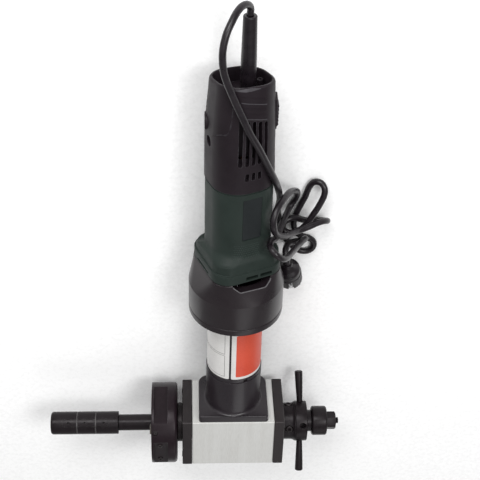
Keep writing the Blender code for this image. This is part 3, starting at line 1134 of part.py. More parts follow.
def cord_boot():
    """The rubber sleeve that guards the cord where it leaves the motor."""
    wall = END_WALL + END_WALL_THICKNESS + FIT
    turned("cord_boot", [
        (END_WALL - FIT, BOOT_NECK_RADIUS), (wall, BOOT_NECK_RADIUS), (wall, BOOT_RADIUS),
        (END_WALL + BOOT_LENGTH / 2, BOOT_RADIUS), (BOOT_END - 2 * EDGE, BOOT_TIP_RADIUS),
        (BOOT_END, BOOT_TIP_RADIUS - 2 * EDGE),
    ], RUBBER, (BOOT_SHIFT, 0, 0), ALONG_Y, SMALL_STEPS)


def between(first, second, low, high, at):
    """The point that a curve's step reaches at a value between two others."""
    return first.lerp(second, (at - low) / (high - low))


def eased(route, step):
    """Points about one step apart on the smooth curve through a route's points."""
    points = [Vector(point) for point in route]
    points = [2 * points[0] - points[1]] + points + [2 * points[-1] - points[-2]]
    fine = []
    for a, b, c, d in zip(points, points[1:], points[2:], points[3:]):
        t1 = (b - a).length ** 0.5
        t2 = t1 + (c - b).length ** 0.5
        t3 = t2 + (d - c).length ** 0.5
        for index in range(12):
            at = t1 + (t2 - t1) * index / 12
            ab = between(a, b, 0, t1, at)
            bc = between(b, c, t1, t2, at)
            cd = between(c, d, t2, t3, at)
            fine.append(between(between(ab, bc, 0, t2, at), between(bc, cd, t1, t3, at), t1, t2, at))
    fine.append(points[-2])
    reach = [0.0]
    for low, high in zip(fine, fine[1:]):
        reach.append(reach[-1] + (high - low).length)
    count = max(2, round(reach[-1] / step))
    spaced = []
    spot = 0
    for index in range(count + 1):
        wanted = reach[-1] * index / count
        while spot < len(fine) - 2 and reach[spot + 1] < wanted:
            spot += 1
        spaced.append(between(fine[spot], fine[spot + 1], reach[spot], reach[spot + 1], wanted))
    return spaced


def least_gap(points, radius):
    """The least gap of a tube to itself, away from where it simply goes on."""
    reach = [0.0]
    for low, high in zip(points, points[1:]):
        reach.append(reach[-1] + (high - low).length)
    gap = math.inf
    for first in range(len(points) - 1):
        for second in range(first + 1, len(points) - 1):
            if reach[second] - reach[first] > math.tau * radius:
                near = nearest(points[first], points[first + 1], points[second], points[second + 1])
                gap = min(gap, near - 2 * radius)
    return gap


def nearest(a, b, c, d):
    """The least distance between the stretches a to b and c to d, on points along both."""
    return min((a.lerp(b, i / 6) - c.lerp(d, k / 6)).length for i in range(7) for k in range(7))


def tube(name, points, level, looks):
    """A closed round tube along points."""
    curve = bpy.data.curves.new(name, "CURVE")
    curve.dimensions = "3D"
    curve.bevel_depth = CORD_RADIUS
    curve.bevel_resolution = level
    curve.use_fill_caps = True
    spline = curve.splines.new("POLY")
    spline.points.add(len(points) - 1)
    for knot, point in zip(spline.points, points):
        knot.co = (*point, 1)
    made = bpy.data.objects.new(name, curve)
    bpy.context.scene.collection.objects.link(made)
    colour, roughness, metallic = looks
    curve.materials.append(material(name + "_finish", colour, roughness, metallic))
    return made


def cord_and_plug():
    """The cord in its run and its loops, and the plug with its two pins."""
    straight = 2 * CORD_RADIUS
    heading = Vector(PLUG_HEADING_SHARES).normalized()
    neck = Vector(PLUG_FACE_PLACE) - PLUG_LENGTH * heading
    start = Vector((BOOT_SHIFT, BOOT_END + FIT, 0))
    middle = (Vector(CORD_RUN[-1]) + Vector(CORD_LOOPS[0])) / 2
    onward = (Vector(CORD_LOOPS[0]) - Vector(CORD_RUN[-1])).normalized()
    run_end = middle - onward * FIT / 2
    loops_start = middle + onward * FIT / 2
    run = [start] + eased([start + Vector((0, straight, 0))] + CORD_RUN
                          + [run_end - onward * straight], CORD_RUN_STEP) + [run_end]
    last = neck - heading * FIT
    loops = [loops_start] + eased([loops_start + onward * straight] + CORD_LOOPS[1:]
                                  + [last - heading * straight], CORD_LOOP_STEP) + [last]
    tube("cord_run", run, 2, RUBBER)
    tube("cord_loops", loops, 1, RUBBER)
    whole = run + loops
    length = sum((high - low).length for low, high in zip(whole, whole[1:]))
    print("Cord: length %.3f m, least gap of the loops %.2f mm, of the whole %.2f mm" % (
        length, 1000 * least_gap(loops, CORD_RADIUS), 1000 * least_gap(whole, CORD_RADIUS)))

    side = Vector((-heading.y, heading.x, 0)).normalized()
    frame = Matrix((side, heading.cross(side), heading)).transposed().to_euler()
    plug = turned("power_plug", [
        (0, PLUG_NECK_RADIUS), (PLUG_DOME_LENGTH * 0.4, PLUG_NECK_RADIUS * 1.2),
        (PLUG_DOME_LENGTH * 0.75, PLUG_RADIUS * 0.78), (PLUG_DOME_LENGTH, PLUG_RADIUS),
        (PLUG_LENGTH - EDGE, PLUG_RADIUS), (PLUG_LENGTH, PLUG_RADIUS - EDGE),
    ], RUBBER, neck, frame, SMALL_STEPS)
    half = PLUG_NOTCH_WIDTH / 2
    floor = PLUG_RADIUS - PLUG_NOTCH_DEPTH
    for index, sign in enumerate((-1, 1)):
        low, high = sorted((sign * floor, sign * (PLUG_RADIUS + OVERRUN)))
        combine(plug, box("plug_notch_cutter_%d" % index,
                          (-half, low, PLUG_LENGTH - PLUG_NOTCH_LENGTH),
                          (half, high, PLUG_LENGTH + OVERRUN), STEEL, neck, frame))
        place = neck + side * sign * PIN_PITCH / 2
        foot = PLUG_LENGTH - PIN_SEAT_DEPTH
        combine(plug, turned("pin_seat_cutter_%d" % index,
                             [(foot - FIT, PIN_RADIUS + FIT),
                              (PLUG_LENGTH + OVERRUN, PIN_RADIUS + FIT)],
                             STEEL, place, frame, SMALL_STEPS))
        tip = PLUG_LENGTH + PIN_LENGTH
        turned("plug_pin_%d" % (index + 1), [
            (foot, PIN_RADIUS), (tip - 2 * EDGE, PIN_RADIUS), (tip, PIN_RADIUS - EDGE),
        ], BRIGHT_STEEL, place, frame, SMALL_STEPS - 4)


def main():
    """Build the machine from its base up."""
    for old in list(bpy.data.objects):
        bpy.data.objects.remove(old)
    gearbox()
    spindle()
    cutter_head()
    stop = feed_side()
    mandrel(stop)
    carrier_top = column()
    gear_foot, gear_top = planetary(carrier_top)
    motor(gear_foot, gear_top)
    cord_boot()
    cord_and_plug()


main()
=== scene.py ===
"""The looks of the pipe beveling machine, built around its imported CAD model.

Metres, +Z up, in the CAD model's frame: X along the spindle, Y along the column and the motor.
"""
import json
import math

import bmesh
import bpy
from mathutils import Matrix, Vector
from mathutils.bvhtree import BVHTree

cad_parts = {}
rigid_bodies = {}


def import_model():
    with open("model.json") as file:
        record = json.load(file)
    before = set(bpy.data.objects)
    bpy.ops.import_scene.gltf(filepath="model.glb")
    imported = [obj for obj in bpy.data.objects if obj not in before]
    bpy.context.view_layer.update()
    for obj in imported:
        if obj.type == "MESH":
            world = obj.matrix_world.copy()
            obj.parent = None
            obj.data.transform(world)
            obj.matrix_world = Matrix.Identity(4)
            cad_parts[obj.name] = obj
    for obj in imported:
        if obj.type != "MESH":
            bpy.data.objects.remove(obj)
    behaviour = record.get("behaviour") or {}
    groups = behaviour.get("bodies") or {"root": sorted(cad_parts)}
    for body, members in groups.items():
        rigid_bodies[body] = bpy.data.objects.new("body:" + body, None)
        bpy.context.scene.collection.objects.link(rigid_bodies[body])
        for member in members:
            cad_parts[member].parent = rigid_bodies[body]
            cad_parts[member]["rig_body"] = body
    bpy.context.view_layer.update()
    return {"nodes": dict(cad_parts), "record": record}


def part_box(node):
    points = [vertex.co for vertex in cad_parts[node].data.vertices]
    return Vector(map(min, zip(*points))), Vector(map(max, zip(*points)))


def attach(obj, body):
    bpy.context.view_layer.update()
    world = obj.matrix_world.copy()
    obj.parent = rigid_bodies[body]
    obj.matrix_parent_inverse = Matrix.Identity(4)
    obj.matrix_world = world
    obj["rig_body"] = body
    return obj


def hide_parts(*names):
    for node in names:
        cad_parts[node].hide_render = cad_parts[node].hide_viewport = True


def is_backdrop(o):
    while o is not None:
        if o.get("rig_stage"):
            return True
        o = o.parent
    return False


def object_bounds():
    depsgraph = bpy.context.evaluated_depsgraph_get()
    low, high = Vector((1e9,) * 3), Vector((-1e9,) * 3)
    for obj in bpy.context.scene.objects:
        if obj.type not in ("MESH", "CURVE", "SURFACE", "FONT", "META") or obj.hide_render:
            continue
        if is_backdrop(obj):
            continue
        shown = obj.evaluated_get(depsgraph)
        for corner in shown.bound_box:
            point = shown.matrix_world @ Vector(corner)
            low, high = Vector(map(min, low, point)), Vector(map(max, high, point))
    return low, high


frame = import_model()

# Sizes that repeat those of the CAD model
FIT = 0.0003
SPINDLE_Y = 0.037
HEAD_LEFT = -0.1000
HEAD_RIGHT = -0.0685
HEAD_RADIUS = 0.0497
HEAD_BORE = 0.0125
HEAD_RIB_TURN = math.radians(149)
HUB_LEFT = 0.0626
HUB_RIGHT = 0.0780
SPIGOT_END = 0.0840
FEED_LEFT = 0.0783
FEED_RIGHT = 0.0930
FEED_END = 0.0992
FEED_RADIUS = 0.0249
HANDLE_X = 0.0874
HANDLE_TURN = math.radians(59)
HANDLE_REACH = 0.0642
MANDREL_LEFT = -0.2257
MANDREL_RIGHT = -0.1420
MANDREL_RADIUS = 0.0141
BLOCK_LEFT = -0.2105
BLOCK_RIGHT = -0.1555
BLOCK_TURN = math.radians(134)
RING_PLACES = (-0.1930, -0.1700)
NECK_TOP = 0.1420
NECK_RADIUS = 0.0331
SPIGOT_SEAT = 0.0273
TUBE_SPIGOT = 0.027
TUBE_RADIUS = 0.032
TUBE_BORE = 0.0213
BELL_FOOT = 0.2317
BELL_BASE_TOP = 0.2402
BELL_RADIUS = 0.0538
BELL_TOP = 0.3000
MOTOR_FOOT = 0.3003
MOTOR_TURN = math.radians(23)
SEAM = 0.4143
CAP_SHOULDER = 0.4780
CAP_RIM_SLOPE = 0.165
END_WALL = 0.5060
BOOT_SHIFT = 0.006
BOOT_END = 0.5995
CORD_RADIUS = 0.00365
CORD_RUN_STEP = 0.010
CORD_LOOP_STEP = 0.008
PLUG_FACE_PLACE = (0.0655, 0.238, -0.040)
PLUG_HEADING_SHARES = (0.15, -0.89, -0.42)
PLUG_LENGTH = 0.040
PLUG_RADIUS = 0.0145
PIN_PITCH = 0.019
BENCH = -0.0542

# Sizes and counts of the looks alone
STEPS = 96
CORD_FINE_STEP = 0.0025
PLUG_RIBS = 28
TOOL_SCREW_INSET = 0.005
FLAT_SCREW_X = -0.0895
RING_RADIUS = 0.0133
RING_WIRE = 0.0008
GROOVE_HALF = 0.0009
GROOVE_FLOOR = 0.0094  # leaves room for the rings when the blocks are spread
PLATE_SCREW_INSET = 0.0095
GUIDE_SCREW_X = 0.0703
GUIDE_SCREW_TURNS = (math.radians(70), math.radians(160))
HANDLE_SEAT_X = 0.0850
HANDLE_SEAT_REACH = 0.0240
HANDLE_LEANS = (math.radians(2.5), math.radians(0.5))
THREAD_PITCH = 0.0010
THREAD_TURNS = 11
SET_SCREW_Y = 0.1385
SET_SCREW_TURN = math.atan2(-0.0300, 0.0128)
LABEL_LOW = 0.1428
LABEL_HIGH = 0.2160
LABEL_RADIUS = 0.03212
PRINT_FOOT = 0.0321
LINE_RADIUS = 0.03218
LINE_WIDTH = 0.0005
LINE_TURNS = (-203.0, -112.6)
SHOULDER = 0.2735
FLARE_SLOTS_X = 0.0075
FLARE_SLOT_SHIFT = 0.0085
FLARE_SLOT_HALF = 0.0070
DOT_ROWS = 7
DOT_COLUMNS = 15
DOT_RADIUS = 0.0006
DOT_PITCH = 0.0026
DOT_TURN = 3.1
DOTS_START = -98
DOTS_LOW = 0.3305
CAP_HALF = 0.036
CAP_DRAW = 0.0018
VENT_TURN = -69.5
VENT_PITCH = math.radians(11.4)
VENT_HALF = 0.0021
VENT_CORNER = 0.0018
SHADE_SHEET_REACH = 48
SWITCH_RIDGES = 6
SWITCH_RIDGE_PITCH = 0.0042


def metres(points):
    """Points given in millimetres."""
    return [tuple(value / 1000 for value in point) for point in points]


# The cord's route, as in the CAD model: the run from the boot, then the loose loops
CORD_RUN = metres([
    (6, 608, 1), (2, 614, 7), (-5, 615, 17), (-12, 608, 28), (-18, 597, 36), (-21, 583, 40),
    (-21, 570, 41), (-19, 557, 41), (-15, 545, 41), (-10, 532, 41), (-4, 518, 42), (2, 504, 42),
    (8, 490, 41), (16, 474, 39), (24, 455, 35), (31, 437, 29), (37, 419, 20), (41, 402, 8),
    (44, 385, -6), (46, 367, -20), (46, 349, -33), (47, 332, -43), (50, 316, -49),
])
CORD_LOOPS = metres([
    (53, 302, -50), (59, 289, -50), (68, 278, -50), (79, 271, -50), (88, 273, -50), (92, 281, -50),
    (88, 289, -50), (80, 292, -50), (72, 297, -50), (67, 308, -50), (68, 323, -50), (73, 338, -50),
    (78, 352, -49), (81, 362, -50), (86, 371, -48), (94, 372, -44), (98, 364, -40), (93, 348, -37),
    (86, 335, -35), (80, 325, -33), (72, 316, -32), (63, 312, -32), (56, 313, -33), (52, 320, -35),
    (57, 326, -37), (65, 327, -41), (73, 323, -43), (81, 319, -46), (89, 317, -49), (96, 316, -50),
    (102, 319, -45), (103, 325, -37), (98, 330, -30), (90, 331, -25), (81, 330, -20),
    (69, 329, -14), (58, 334, -1), (49, 342, 13), (41, 352, 23), (37, 363, 28), (36, 375, 27),
    (40, 384, 20), (47, 388, 9), (54, 386, -6), (60, 379, -20), (66, 368, -34), (67, 356, -43),
    (65, 346, -48), (60, 338, -45), (56, 336, -35), (52, 336, -23), (48, 336, -11), (45, 336, 0),
    (41, 339, 12), (36, 343, 22), (33, 346, 32), (34, 347, 41), (40, 342, 46), (47, 334, 42),
    (53, 327, 31), (58, 321, 17), (63, 316, 4), (68, 311, -9), (74, 308, -21), (79, 304, -32),
    (77, 297, -38), (70, 294, -39), (65, 295, -37), (59, 296, -31), (56, 291, -22),
])

# Local Z along the spindle, or along the column with local Y pointing down
SPINDLE = Matrix(((0, 0, 1, 0), (0, 1, 0, SPINDLE_Y), (-1, 0, 0, 0), (0, 0, 0, 1)))
COLUMN = Matrix(((1, 0, 0, 0), (0, 0, 1, 0), (0, -1, 0, 0), (0, 0, 0, 1)))
# Two local axes changed over, for outlines that are drawn in another plane
SWAP_YZ = Matrix(((1, 0, 0, 0), (0, 0, 1, 0), (0, 1, 0, 0), (0, 0, 0, 1)))
SWAP_XZ = Matrix(((0, 0, 1, 0), (0, 1, 0, 0), (1, 0, 0, 0), (0, 0, 0, 1)))


# ---- materials

def fed(tree, node, inputs):
    """A node with its inputs given, each by a value or by another node's output."""
    for name, given in inputs.items():
        if isinstance(given, bpy.types.NodeSocket):
            tree.links.new(given, node.inputs[name])
        else:
            node.inputs[name].default_value = given
    return node


def noise(tree, coords, scale, detail, stretch):
    """A noise value over the object's own coordinates."""
    mapping = fed(tree, tree.nodes.new("ShaderNodeMapping"), {"Vector": coords, "Scale": stretch})
    made = fed(tree, tree.nodes.new("ShaderNodeTexNoise"), {
        "Vector": mapping.outputs["Vector"], "Scale": scale, "Detail": detail, "Roughness": 0.6})
    return made.outputs["Fac"]


def spread(tree, value, low, high, start=0.32, end=0.68):
    """Spread a value that lies between start and end over low to high."""
    made = fed(tree, tree.nodes.new("ShaderNodeMapRange"), {
        "Value": value, "From Min": start, "From Max": end, "To Min": low, "To Max": high})
    return made.outputs["Result"]


def blended(tree, share, first, second):
    """Mix two colours, each a triple or a socket."""
    made = tree.nodes.new("ShaderNodeMix")
    made.data_type = "RGBA"
    tree.links.new(share, made.inputs["Factor"])
    for name, colour in (("A", first), ("B", second)):
        socket = [item for item in made.inputs if item.name == name and item.type == "RGBA"][0]
        if isinstance(colour, tuple):
            socket.default_value = (*colour, 1)
        else:
            tree.links.new(colour, socket)
    return [item for item in made.outputs if item.type == "RGBA"][0]


def finish(name, dark, light, roughness, metallic=0.0, cloud=38, grain=900, depth=0.00003,
           coat=0.0, stretch=(1, 1, 1), wear_and_highlight=None, wear_and_highlight_radius=0.0007, specular=0.5):
    """A Principled material with clouded colour, uneven gloss, a fine grain and recoloured edges:
    wear on most materials, a painted edge highlight on the bell's paint.
    """
    made = bpy.data.materials.new(name)
    made.use_nodes = True
    tree = made.node_tree
    coords = tree.nodes.new("ShaderNodeTexCoord").outputs["Object"]
    clouds = noise(tree, coords, cloud, 5, stretch)
    fine = noise(tree, coords, grain, 3, stretch)
    colour = blended(tree, spread(tree, clouds, 0, 1), dark, light)
    speck = spread(tree, fine, 0, 0.45)
    colour = blended(tree, speck, colour, tuple(1.18 * part + 0.002 for part in light))
    # Edges found by a bevel mask take the given edge colour: wear on most materials, a painted edge
    # highlight on the bell's paint.
    if wear_and_highlight:
        bevel = fed(tree, tree.nodes.new("ShaderNodeBevel"), {"Radius": wear_and_highlight_radius})
        bevel.samples = 4
        plain = tree.nodes.new("ShaderNodeNewGeometry")
        dot = tree.nodes.new("ShaderNodeVectorMath")
        dot.operation = "DOT_PRODUCT"
        fed(tree, dot, {0: bevel.outputs["Normal"], 1: plain.outputs["Normal"]})
        edge = spread(tree, dot.outputs["Value"], 1, 0, 0.86, 0.985)
        patchy = spread(tree, noise(tree, coords, 160, 4, (1, 1, 1)), 0.1, 1, 0.38, 0.62)
        both = tree.nodes.new("ShaderNodeMath")
        both.operation = "MULTIPLY"
        fed(tree, both, {0: edge, 1: patchy})
        colour = blended(tree, both.outputs["Value"], colour, wear_and_highlight)
    bump = fed(tree, tree.nodes.new("ShaderNodeBump"), {
        "Strength": 0.6, "Distance": depth, "Height": fine})
    fed(tree, tree.nodes["Principled BSDF"], {
        "Base Color": colour, "Roughness": spread(tree, clouds, *roughness),
        "Metallic": metallic, "Coat Weight": coat, "Coat Roughness": 0.12,
        "Specular IOR Level": specular, "Normal": bump.outputs["Normal"]})
    return made


PLASTIC = {"roughness": (0.42, 0.56), "cloud": 30, "grain": 1500}
PLASTIC_BLACKS = ((0.008, 0.005, 0.007), (0.014, 0.010, 0.013))
LABEL = {"roughness": (0.34, 0.46), "cloud": 26, "grain": 700, "depth": 0.000012}

BLACK_OXIDE = finish(
    "black_oxide_steel", (0.022, 0.018, 0.019), (0.034, 0.029, 0.030), (0.34, 0.50), 0.5,
    wear_and_highlight=(0.075, 0.07, 0.07), specular=0.25)
TURNED_BLACK = finish(
    "turned_black_steel", (0.008, 0.0055, 0.0065), (0.013, 0.010, 0.0115), (0.28, 0.42), 0.2,
    grain=500, stretch=(3.5, 1, 1), wear_and_highlight=(0.07, 0.065, 0.065), specular=0.18)
CAST_BLACK = finish(
    "cutter_head_black", (0.008, 0.004, 0.006), (0.014, 0.008, 0.011), (0.28, 0.42), 0.2,
    grain=600, wear_and_highlight=(0.08, 0.075, 0.08), specular=0.2)
GLOSS_BLACK = finish(
    "gloss_black_paint", (0.010, 0.007, 0.010), (0.016, 0.012, 0.015), (0.26, 0.36), cloud=24,
    grain=420, depth=0.000006, specular=0.42)
# Its lighter edge colour is a painted highlight along the bell's shoulder and notch edges.
BELL_BLACK = finish(
    "bell_black_paint", (0.008, 0.005, 0.007), (0.014, 0.010, 0.012), (0.26, 0.36), cloud=24,
    grain=700, depth=0.000008, wear_and_highlight=(0.06, 0.055, 0.058), wear_and_highlight_radius=0.0005, specular=0.34)
NICKEL = finish(
    "pale_nickel_paint", (0.48, 0.475, 0.455), (0.56, 0.56, 0.545), (0.36, 0.50), 0.1, cloud=16,
    grain=260, depth=0.000012, stretch=(7, 0.5, 0.5), wear_and_highlight=(0.40, 0.39, 0.36),
    wear_and_highlight_radius=0.001, specular=0.3)
GREEN = finish(
    "dark_green_plastic", (0.012, 0.018, 0.0155), (0.018, 0.026, 0.0225), **PLASTIC,
    depth=0.00005, specular=0.15)
BLACK_PLASTIC = finish(
    "black_plastic", *PLASTIC_BLACKS, **PLASTIC, depth=0.00004, wear_and_highlight=(0.075, 0.072, 0.080),
    wear_and_highlight_radius=0.0010, specular=0.16)
PLAIN_PLASTIC = finish(
    "plain_black_plastic", *PLASTIC_BLACKS, **PLASTIC, depth=0.00004, specular=0.16)
# A painted highlight: the lighter line along the rim of the bell's notch.
NOTCH_RIM_HIGHLIGHT = finish(
    "painted_notch_rim_highlight", (0.06, 0.055, 0.06), (0.11, 0.105, 0.11), (0.26, 0.36), cloud=300)
PANEL = finish(
    "name_plate_black", (0.008, 0.010, 0.011), (0.012, 0.015, 0.016), (0.44, 0.56), cloud=60,
    grain=1200, depth=0.00002, specular=0.20)
# A painted highlight for the cap's rim and panel lines, where light catches them.
CAP_RIM_HIGHLIGHT = finish(
    "painted_cap_rim_highlight", (0.034, 0.031, 0.036), (0.052, 0.048, 0.054), (0.34, 0.46), cloud=90,
    specular=0.35)
GRIP_GREEN = finish(
    "grip_dot_green", (0.024, 0.036, 0.031), (0.032, 0.047, 0.041), **PLASTIC, depth=0.00001,
    specular=0.2)
RUBBER = finish(
    "cord_rubber", (0.005, 0.0035, 0.005), (0.011, 0.008, 0.0105), (0.25, 0.37), cloud=120,
    grain=1100, depth=0.00010, specular=0.34)
STEEL = finish(
    "ground_steel", (0.30, 0.30, 0.31), (0.46, 0.46, 0.47), (0.24, 0.38), 1.0, cloud=60,
    grain=500, depth=0.00001, stretch=(1, 6, 6))
SPRING = finish(
    "spring_steel", (0.08, 0.075, 0.076), (0.12, 0.113, 0.115), (0.42, 0.55), 0.7, cloud=220,
    specular=0.3)
BRIGHT = finish(
    "bright_steel", (0.50, 0.50, 0.51), (0.66, 0.66, 0.67), (0.16, 0.28), 1.0, cloud=60,
    grain=600, depth=0.00001)
TOOL_STEEL = finish(
    "tool_steel", (0.07, 0.06, 0.05), (0.12, 0.105, 0.085), (0.28, 0.42), 0.9, cloud=120,
    grain=700, depth=0.00001, wear_and_highlight=(0.36, 0.35, 0.33))
# Copper far darker than bare copper: painted shade on the copper parts, which lie inside the motor.
COPPER_WITH_PAINTED_SHADE = finish("copper", (0.10, 0.045, 0.022), (0.16, 0.07, 0.035), (0.45, 0.60), 1.0, cloud=90)
# Steel darker than the ground steel: painted shade on the bearings, which sit inside the housings.
BEARING_WITH_PAINTED_SHADE = finish(
    "bearing_steel", (0.15, 0.15, 0.155), (0.22, 0.22, 0.225), (0.30, 0.42), 1.0, cloud=60,
    grain=600, depth=0.00001)
LAMINATION = finish(
    "laminated_iron", (0.10, 0.10, 0.11), (0.18, 0.18, 0.19), (0.40, 0.60), 0.8,
    stretch=(1, 8, 1))
CARBON = finish("carbon", (0.030, 0.030, 0.031), (0.055, 0.055, 0.056), (0.55, 0.75))
NYLON = finish("pale_nylon", (0.40, 0.39, 0.35), (0.52, 0.51, 0.47), (0.40, 0.55))
WHITE_LABEL = finish("white_label", (0.56, 0.55, 0.53), (0.63, 0.62, 0.61), **LABEL, coat=0.1)
RED_LABEL = finish(
    "red_label", (0.50, 0.050, 0.022), (0.56, 0.070, 0.034), **LABEL, coat=0.05, specular=0.3)
GREY_LINE = finish("label_line", (0.12, 0.115, 0.115), (0.17, 0.165, 0.16), (0.45, 0.55))

# The looks of the CAD nodes that nothing stands for, by their finish
CARRIED = {
    "steel": STEEL, "bearing_steel": BEARING_WITH_PAINTED_SHADE, "nickel_paint": NICKEL, "black_oxide": BLACK_OXIDE,
    "tool_steel": TOOL_STEEL, "copper": COPPER_WITH_PAINTED_SHADE, "lamination": LAMINATION, "carbon": CARBON,
    "nylon": NYLON, "black_plastic": BLACK_PLASTIC,
}
for row in frame["record"]["subparts"]:
    if row["material_slot"] in CARRIED:
        materials = frame["nodes"][row["node"]].data.materials
        materials.clear()
        materials.append(CARRIED[row["material_slot"]])


# ---- shape helpers

def placed(name, data):
    """A new object of some data, in the scene."""
    made = bpy.data.objects.new(name, data)
    bpy.context.scene.collection.objects.link(made)
    return made


def shaded(name, bm, looks, angle=30):
    """Make an object of a bmesh, with its faces pointing out and its real edges sharp."""
    bmesh.ops.recalc_face_normals(bm, faces=bm.faces)
    mesh = bpy.data.meshes.new(name)
    bm.to_mesh(mesh)
    bm.free()
    if looks:
        mesh.materials.append(looks)
    mesh.shade_smooth()
    mesh.set_sharp_from_angle(angle=math.radians(angle))
    return placed(name, mesh)


def rounded(points, closed=False, segments=5):
    """Replace each corner (height, radius, fillet) by an arc. A point without a fillet stays."""
    shape = []
    count = len(points)
    for index, point in enumerate(points):
        here = Vector(point[:2])
        if len(point) < 3 or (not closed and index in (0, count - 1)):
            shape.append(tuple(here))
            continue
        back = Vector(points[index - 1][:2]) - here
        onward = Vector(points[(index + 1) % count][:2]) - here
        half = back.angle(onward) / 2
        reach = min(point[2] / math.tan(half), 0.49 * back.length, 0.49 * onward.length)
        radius = reach * math.tan(half)
        back.normalize()
        onward.normalize()
        centre = here + (back + onward).normalized() * radius / math.sin(half)
        first = here + back * reach - centre
        last = here + onward * reach - centre
        sweep = math.atan2(first.x * last.y - first.y * last.x, first.dot(last))
        for step in range(segments + 1):
            turn = sweep * step / segments
            shape.append((centre.x + first.x * math.cos(turn) - first.y * math.sin(turn),
                          centre.y + first.x * math.sin(turn) + first.y * math.cos(turn)))
    return shape


def section(half, corner, height, turn, slope, steps=STEPS):
    """Points of a rounded square about local Z. With corner equal to half it is a circle."""
    points = []
    reach = (half - corner) * math.sqrt(2)
    for index in range(steps):
        share = (index + 0.5) / steps
        angle = share * math.tau
        quarter = math.pi / 4 + math.floor(4 * share) * math.pi / 2
        x = reach * math.cos(quarter + turn) + corner * math.cos(angle + turn)
        y = reach * math.sin(quarter + turn) + corner * math.sin(angle + turn)
        points.append((x, y, height - slope * y))
    return points


def circle(radius, height, turn=0.0, steps=STEPS):
    """Points of a circle about local Z."""
    return section(radius, radius, height, turn, 0.0, steps)


def squared(half, corner, height, slope=0.0):
    """Points of a rounded square at the motor's turn."""
    return section(half, corner, height, MOTOR_TURN, slope)


def disc(radius, height):
    """Points of a circle that begin at the motor's turn."""
    return circle(radius, height, MOTOR_TURN)


def skin(name, sections, looks, place, hollow=False, angle=30):
    """Bridge sections of equally many points. A hollow one closes on itself."""
    bm = bmesh.new()
    rings = [[bm.verts.new(place @ Vector(point)) for point in points] for points in sections]
    pairs = list(zip(rings, rings[1:]))
    if hollow:
        pairs.append((rings[-1], rings[0]))
    else:
        bm.faces.new(rings[0])
        bm.faces.new(rings[-1])
    for low, high in pairs:
        for index in range(len(low)):
            after = (index + 1) % len(low)
            bm.faces.new((low[index], low[after], high[after], high[index]))
    return shaded(name, bm, looks, angle)


def turned(name, profile, looks, place, hollow=False, steps=STEPS, angle=30):
    """A turned piece, from a profile of (height, radius) or (height, radius, fillet)."""
    sections = [circle(radius, height, 0, steps) for height, radius in rounded(profile, hollow)]
    return skin(name, sections, looks, place, hollow, angle)


def prism(name, outline, low, high, looks, place):
    """Extrude an outline of (x, y) points along local Z."""
    bm = bmesh.new()
    ends = [[bm.verts.new(place @ Vector((x, y, z))) for x, y in outline] for z in (low, high)]
    bm.faces.new(ends[0])
    bm.faces.new(ends[1])
    for index in range(len(outline)):
        after = (index + 1) % len(outline)
        bm.faces.new((ends[0][index], ends[0][after], ends[1][after], ends[1][index]))
    return shaded(name, bm, looks)


def box(name, low, high, place):
    """A box between two corners, in local axes, to cut or join with."""
    outline = [(low[0], low[1]), (high[0], low[1]), (high[0], high[1]), (low[0], high[1])]
    return prism(name, outline, low[2], high[2], None, place)


def slot_outline(left, right, low, high, radius, segments=4):
    """A rectangle with round corners."""
    corners = ((left, low), (right, low), (right, high), (left, high))
    return rounded([(*corner, radius) for corner in corners], True, segments)


def hexagon(radius):
    """The corners of a hexagon."""
    turns = [k * math.tau / 6 for k in range(6)]
    return [(radius * math.cos(turn), radius * math.sin(turn)) for turn in turns]


def applied(piece, angle=30):
    """Turn a piece's modifiers into its mesh."""
    bpy.context.view_layer.update()
    graph = bpy.context.evaluated_depsgraph_get()
    mesh = bpy.data.meshes.new_from_object(piece.evaluated_get(graph))
    piece.modifiers.clear()
    piece.data = mesh
    mesh.name = piece.name
    mesh.shade_smooth()
    mesh.set_sharp_from_angle(angle=math.radians(angle))
    return piece


def cut(piece, tools, operation="DIFFERENCE", angle=30):
    """Cut a piece with tools, or join or cross it with them, and delete the tools."""
    for tool in tools:
        step = piece.modifiers.new(tool.name, "BOOLEAN")
        step.operation = operation
        step.solver = "EXACT"
        step.object = tool
    applied(piece, angle)
    for tool in tools:
        bpy.data.objects.remove(tool)
    return piece


def bevelled(piece, width):
    """Round a piece's sharp edges. The small shading angle keeps its faces flat."""
    step = piece.modifiers.new("edges", "BEVEL")
    step.width = width
    step.segments = 3
    step.limit_method = "ANGLE"
    step.angle_limit = math.radians(30)
    return applied(piece, 14)


def joined(name, pieces):
    """Several pieces as one object, with the first one's material."""
    bm = bmesh.new()
    for piece in pieces:
        bm.from_mesh(piece.data)
    looks = pieces[0].data.materials[0]
    for piece in pieces:
        bpy.data.objects.remove(piece)
    return shaded(name, bm, looks)


def around_x(turn, along=0.0):
    """The frame at a turn about the spindle's axis, with local Z outward and X along it."""
    outward = Vector((0, math.sin(turn), -math.cos(turn)))
    side = outward.cross(Vector((1, 0, 0)))
    made = Matrix((Vector((1, 0, 0)), side, outward)).transposed().to_4x4()
    made.translation = Vector((along, SPINDLE_Y, 0))
    return made


def around_y(turn, along=0.0):
    """The frame at a turn about the column's axis, with local Z outward and Y along it."""
    outward = Vector((math.cos(turn), 0, -math.sin(turn)))
    made = Matrix((outward.cross(Vector((0, -1, 0))), Vector((0, 1, 0)), outward))
    made = made.transposed().to_4x4()
    made.translation = Vector((0, along, 0))
    return made


def stands_for(piece, *nodes):
    """Show the piece in place of CAD nodes, on their body."""
    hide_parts(*nodes)
    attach(piece, frame["nodes"][nodes[0]]["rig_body"])
    return piece


def added(piece, body):
    """A small piece that the CAD model leaves out."""
    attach(piece, body)
    return piece


